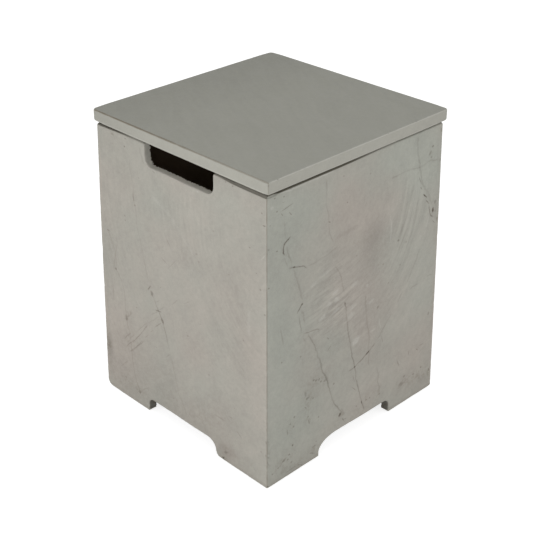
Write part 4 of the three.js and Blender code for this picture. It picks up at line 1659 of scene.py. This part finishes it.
def mouldedRubber():
    material, tree, shader = newFinish("mouldedRubber", 0.75, 0.4)
    place = objectPlace(tree)
    scales = {"Patch Scale": 60.0, "Mottle Scale": 260.0, "Grain Scale": 1600.0}
    cloud = useGroup(tree, clouds, {"Vector": place, **scales})
    colour = mixColour(cloud["Mottle"], (0.017, 0.017, 0.018, 1), (0.032, 0.031, 0.03, 1))
    dust = times(ramped(cloud["Patch"], 0.45, 1.0), 0.35)
    colour = mixColour(dust, colour, (0.12, 0.115, 0.1, 1))
    rough = ramped(cloud["Mottle"], 0.0, 1.0, 0.62, 0.85)
    dressShader(shader, colour, rough, cloud["Grain"], 0.5, 0.0002)
    return material


def coatedFibre():
    material, tree, shader = newFinish("coatedFibre", 0.6, 0.45)
    place = objectPlace(tree)
    cloud = useGroup(tree, clouds, {"Vector": place, "Patch Scale": 30.0, "Mottle Scale": 180.0})
    colour = mixColour(cloud["Mottle"], (0.06, 0.046, 0.031, 1), (0.10, 0.08, 0.056, 1))
    dressShader(shader, colour, ramped(cloud["Patch"], 0.0, 1.0, 0.5, 0.75))
    return material


concrete = castConcrete(bodyConcrete)
slabFinish = slabConcrete(slabConcreteLook)
rubber = mouldedRubber()
fibre = coatedFibre()
for piece, finish in ((body, concrete), (slab, slabFinish)):
    piece.data.materials.clear()
    piece.data.materials.append(finish)
print("finishes made")


# Rubber pads: a dished disc with a rounded edge, set out on the four corners

floorPadLook = {"Radius": 7 * mm, "Thickness": 2 * mm, "Edge": 0.6 * mm, "Dish": 0.5 * mm, "Seed": 3}
bumperLook = {"Radius": 5 * mm, "Thickness": 3 * mm, "Edge": 1 * mm, "Dish": 0.3 * mm, "Seed": 8}
floorPadInset = 12 * mm
bumperInset = 9.5 * mm


def mouldedPads():
    tree, given, result = newTree("mouldedPads", "Geometry", {
        "Radius": 0.005, "Thickness": 0.003, "Edge": 0.001, "Dish": 0.0003, "Place": 0.19, "Level": 0.0,
        "Seed": 1, "Material": "Material",
    }, {"Geometry": "Geometry"})
    disc = addNode(tree, "GeometryNodeMeshCylinder", {
        "Vertices": 40, "Side Segments": 8, "Fill Segments": 8, "Radius": 1.0, "Depth": 1.0,
    })
    spot = addNode(tree, "GeometryNodeInputPosition").outputs[0]
    x, y, z = parts(spot)
    out = diagonal(x, y)
    above = times(plus(z, 0.5), given["Thickness"])
    into = maths("DIVIDE", minus(given["Edge"], above), given["Edge"], clamp=True)
    fall = maths("SQRT", minus(1.0, times(into, into), clamp=True))
    drawn = times(given["Edge"], minus(1.0, fall))
    radius = minus(given["Radius"], drawn)
    under = maths("LESS_THAN", above, 1e-6)
    dish = times(ramped(out, 0.35, 0.7, 1.0, 0.0), given["Dish"])
    ring = times(ramped(maths("ABSOLUTE", minus(out, 0.8)), 0.06, 0.0), 0.00025)
    lift = times(under, plus(dish, ring))
    shaped = combined(times(x, radius), times(y, radius), plus(above, lift))
    pad = addNode(tree, "GeometryNodeSetPosition", {"Geometry": disc.outputs[0], "Position": shaped})
    smooth = addNode(tree, "GeometryNodeSetShadeSmooth", {"Geometry": pad.outputs[0]})
    side = times(given["Place"], 2.0)
    grid = addNode(tree, "GeometryNodeMeshGrid", {
        "Size X": side, "Size Y": side, "Vertices X": 2, "Vertices Y": 2,
    })
    spin = combined(z=randomAmount(tree, given["Seed"], 0.0, 6.28))
    pads = addNode(tree, "GeometryNodeInstanceOnPoints", {
        "Points": grid.outputs[0], "Instance": smooth.outputs[0], "Rotation": spin,
    })
    up = combined(z=given["Level"])
    lifted = addNode(tree, "GeometryNodeTransform", {"Geometry": pads.outputs[0], "Translation": up})
    return endTree(tree, lifted.outputs[0], given["Material"], result)


padTree = mouldedPads()


def buildPads(name, look, place, level):
    pads = newPiece(name, np.zeros((0, 3)), [])
    growOn(pads, padTree, {**look, "Place": place, "Level": level, "Material": rubber})
    return pads


footPads = buildPads("foot_pads", floorPadLook, footHalf - floorPadInset, 0.0)
bumperLevel = slabLow.z - bumperLook["Thickness"]
bumpers = buildPads("slab_bumpers", bumperLook, rimHalf - bumperInset, bumperLevel)
print("pads:", triangleCount(footPads), "and", triangleCount(bumpers), "triangles")


# Rubber angles that keep the slab in place, ribbed where they face the wall

locatorLook = {
    "height": 14 * mm,
    "leg": 42 * mm,
    "thickness": 8 * mm,
    "clearance": 3 * mm,
    "cornerRadius": 11 * mm,
    "leadIn": 1.5 * mm,
    "ribs": 9,
    "ribDepth": 0.9 * mm,
    "edge": 0.7 * mm,
}


def locatorOutline(look, grow):
    # Anticlockwise round the angle in the corner towards +X +Y, with shallow ribs on its outer faces
    outer = cavityHalfAt(bodyHeight) - look["clearance"]
    face, back = outer + grow, outer - look["thickness"] - grow
    end, radius = outer - look["leg"] - grow, look["cornerRadius"] + grow
    ribbed = []
    steps = look["ribs"] * 6
    for step in range(steps + 1):
        share = step / steps
        wave = 0.5 - 0.5 * math.cos(2 * math.pi * share * look["ribs"])
        ease = min(1, share * 12, (1 - share) * 12)
        ribbed.append((share, look["ribDepth"] * wave ** 2 * ease))
    reach = face - radius - end
    points = [(face - depth, end + reach * share) for share, depth in ribbed]
    for step in range(1, 8):
        angle = quarterTurn * step / 8
        points.append((face - radius + radius * math.cos(angle), face - radius + radius * math.sin(angle)))
    points += [(face - radius - reach * share, face - depth) for share, depth in ribbed]
    points.append((end, back + (face - back) * 0.5))
    points += [(end + (back - end) * share, back) for share in (0, 0.33, 0.67, 0.94)]
    points += [(back, back - (back - end) * share) for share in (0.06, 0.33, 0.67, 1)]
    points.append((back + (face - back) * 0.5, end))
    return points


def buildLocators(look):
    height, edge, leadIn = look["height"], look["edge"], look["leadIn"]
    levels = [
        (0, -leadIn - edge), (edge * 0.3, -leadIn - edge * 0.3), (edge, -leadIn + 0.1 * mm),
        (leadIn + edge, 0), (height * 0.4, 0), (height * 0.7, 0), (height, 0),
    ]  # how far each ring lies above the foot, and how far it is grown
    points = np.array([[(x, y, z) for x, y in locatorOutline(look, grow)] for z, grow in levels])
    rows, columns = points.shape[:2]
    flat = points.reshape(-1, 3) + np.array([0, 0, slabLow.z - height])
    return newPiece("slab_locators", flat, tubeFaces(rows, columns))


def turnedCopies():
    # Copies of the geometry turned about the middle, evenly
    tree, given, result = newTree("turnedCopies", "Geometry", {
        "Geometry": "Geometry", "Count": 4, "Material": "Material",
    }, {"Geometry": "Geometry"})
    spots = addNode(tree, "GeometryNodePoints", {"Count": given["Count"]})
    number = addNode(tree, "GeometryNodeInputIndex").outputs[0]
    angle = times(maths("DIVIDE", number, given["Count"]), 2 * math.pi)
    copies = addNode(tree, "GeometryNodeInstanceOnPoints", {
        "Points": spots.outputs[0], "Instance": given["Geometry"], "Rotation": combined(z=angle),
    })
    return endTree(tree, copies.outputs[0], given["Material"], result)


locators = buildLocators(locatorLook)
growOn(locators, turnedCopies(), {"Count": 4, "Material": rubber})
shadeSmooth(locators.data, 30)
print("locators:", triangleCount(locators), "triangles")


# Chopped glass strands that lie in the hand-laid back of the casting

strandLook = {"Length": 24 * mm, "Thickness": 0.32 * mm, "Lift": 0.12 * mm, "Bend": 5 * mm}
bodyStrands = {"Density": 1900.0, "Seed": 12}
slabStrands = {"Density": 1700.0, "Seed": 4}


def choppedStrands():
    tree, given, result = newTree("choppedStrands", "Geometry", {
        "Geometry": "Geometry", "Density": 1800.0, "Seed": 1, "Length": 0.024, "Thickness": 0.0003,
        "Lift": 0.0001, "Bend": 0.005, "Material": "Material",
    }, {"Geometry": "Geometry"})
    scattered = addNode(tree, "GeometryNodeDistributePointsOnFaces", {
        "Mesh": given["Geometry"], "Density": given["Density"], "Seed": given["Seed"],
    })
    half = times(given["Length"], 0.5)
    strand = addNode(tree, "GeometryNodeCurveQuadraticBezier", {
        "Resolution": 4, "Start": combined(times(half, -1.0)),
        "Middle": combined(y=given["Bend"], z=given["Lift"]), "End": combined(half),
    })
    ring = addNode(tree, "GeometryNodeCurvePrimitiveCircle", {"Resolution": 4, "Radius": given["Thickness"]})
    tube = addNode(tree, "GeometryNodeCurveToMesh", {
        "Curve": strand.outputs[0], "Profile Curve": ring.outputs[0], "Fill Caps": True,
    })
    smooth = addNode(tree, "GeometryNodeSetShadeSmooth", {"Geometry": tube.outputs[0]})
    laid = addNode(tree, "FunctionNodeRotateRotation", {
        "Rotation": scattered.outputs["Rotation"],
        "Rotate By": combined(z=randomAmount(tree, given["Seed"], 0.0, 6.283)),
    }, rotation_space="LOCAL")
    strands = addNode(tree, "GeometryNodeInstanceOnPoints", {
        "Points": scattered.outputs["Points"], "Instance": smooth.outputs[0], "Rotation": laid.outputs[0],
        "Scale": randomAmount(tree, given["Seed"], 0.45, 1.1),
    })
    return endTree(tree, strands.outputs[0], given["Material"], result)


def facesWhere(piece, name, chosen):
    # A copy of some of a piece's faces, for strands to lie on
    points = pointsOf(piece.data)
    faces = [list(face.vertices) for face in piece.data.polygons if chosen(face)]
    return newPiece(name, points, faces)


strandTree = choppedStrands()


def hiddenWall(face):
    x, y, z = face.center
    wide = max(abs(x), abs(y))
    height = z - shellLow.z
    deep = outerHalfAt(height) - wide
    byArch = height < 46 * mm and min(abs(x), abs(y)) < 108 * mm
    bySlot = height > 440 * mm and abs(x) < 108 * mm
    inBand = 14 * mm < height < bodyHeight - 12 * mm
    return deep > wallAt(height) - 3 * mm and inBand and not byArch and not bySlot


def underside(face):
    reach = max(abs(face.center.x), abs(face.center.y))
    return face.normal.z < -0.9 and reach < slabHalf - 34 * mm


bodyFibres = facesWhere(body, "cover_fibres", hiddenWall)
growOn(bodyFibres, strandTree, {**strandLook, **bodyStrands, "Material": fibre})
slabFibres = facesWhere(slab, "slab_fibres", underside)
growOn(slabFibres, strandTree, {**strandLook, **slabStrands, "Material": fibre})
print("strands:", triangleCount(bodyFibres), "and", triangleCount(slabFibres), "triangles")


# What each piece stands for and moves with

cornerNumbers = range(1, 5)
riders = [
    (body, "shell", "cast_concrete", ["cover_shell"]),
    (bodyFibres, "shell", "cast_concrete", []),
    (footPads, "shell", "rubber", [f"floor_pad_{number}" for number in cornerNumbers]),
    (slab, "lid", "slab_concrete", ["table_lid"]),
    (slabFibres, "lid", "slab_concrete", []),
    (bumpers, "lid", "rubber", [f"lid_bumper_{number}" for number in cornerNumbers]),
    (locators, "lid", "rubber", [f"lid_locator_{number}" for number in cornerNumbers]),
]
for piece, bodyName, slotName, nodes in riders:
    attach(piece, bodyName)
    if nodes:
        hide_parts(*nodes)


# Pale floor, white surround and soft lamps

stageLook = {
    "floorRadius": 9.0,
    "floorColour": (0.6, 0.6, 0.6, 1),
    "floorGlow": 0.78,
    "skyStrength": 0.52,
    "skyColour": (1.0, 1.0, 0.985, 1),
}
lamps = [
    ("leftLamp", (-0.7, -3.4, 1.0), 2.6, 1.6, 48.0),
    ("rightLamp", (3.1, 1.5, 1.1), 2.6, 1.6, 33.0),
    ("cameraLamp", (2.6, -2.6, 1.5), 2.0, 1.4, 24.0),
]


def addFloor(look):
    turns = np.linspace(0, 4 * quarterTurn, 96, endpoint=False)
    points = np.stack([np.cos(turns), np.sin(turns), np.zeros(96)], axis=1) * look["floorRadius"]
    floor = newPiece("studioFloor", points, [list(range(96))])
    material, tree, shader = newFinish("studioFloor", 1.0, 0.0)
    shader.inputs["Base Color"].default_value = look["floorColour"]
    rays = addNode(tree, "ShaderNodeLightPath").outputs
    seen = maths("MAXIMUM", rays["Is Camera Ray"], rays["Is Glossy Ray"])
    glow = addNode(tree, "ShaderNodeEmission", {
        "Color": (1, 1, 1, 1), "Strength": times(seen, look["floorGlow"]),
    })
    lit = addNode(tree, "ShaderNodeAddShader", {0: shader.outputs[0], 1: glow.outputs[0]})
    clear = addNode(tree, "ShaderNodeBsdfTransparent")
    below = addNode(tree, "ShaderNodeNewGeometry").outputs["Backfacing"]
    oneSided = addNode(tree, "ShaderNodeMixShader", {0: below, 1: lit.outputs[0], 2: clear.outputs[0]})
    tree.links.new(oneSided.outputs[0], tree.nodes["Material Output"].inputs[0])
    floor.data.materials.append(material)


def addSky(look):
    world = bpy.data.worlds.new("studio")
    world.use_nodes = True
    tree = world.node_tree
    tree.nodes.clear()
    rays = addNode(tree, "ShaderNodeLightPath").outputs
    seen = maths("MAXIMUM", rays["Is Camera Ray"], rays["Is Glossy Ray"])
    seen = maths("MAXIMUM", seen, rays["Is Transmission Ray"])
    sky = {"Color": look["skyColour"], "Strength": look["skyStrength"]}
    light = addNode(tree, "ShaderNodeBackground", sky)
    white = addNode(tree, "ShaderNodeBackground", {"Color": (1, 1, 1, 1), "Strength": 1.0})
    both = addNode(tree, "ShaderNodeMixShader", {0: seen, 1: light.outputs[0], 2: white.outputs[0]})
    end = tree.nodes.new("ShaderNodeOutputWorld")
    tree.links.new(both.outputs[0], end.inputs[0])
    scene.world = world


def addLamp(name, place, width, height, power):
    light = bpy.data.lights.new(name, "AREA")
    light.shape = "RECTANGLE"
    light.size = width
    light.size_y = height
    light.energy = power
    lamp = bpy.data.objects.new(name, light)
    lamp.location = place
    lamp.rotation_mode = "QUATERNION"
    aim = Vector((0, 0, 0.3)) - Vector(place)
    lamp.rotation_quaternion = aim.to_track_quat("-Z", "Y")
    scene.collection.objects.link(lamp)


addFloor(stageLook)
addSky(stageLook)
for lamp in lamps:
    addLamp(*lamp)
scene.view_settings.view_transform = "Standard"
print("stage lit")
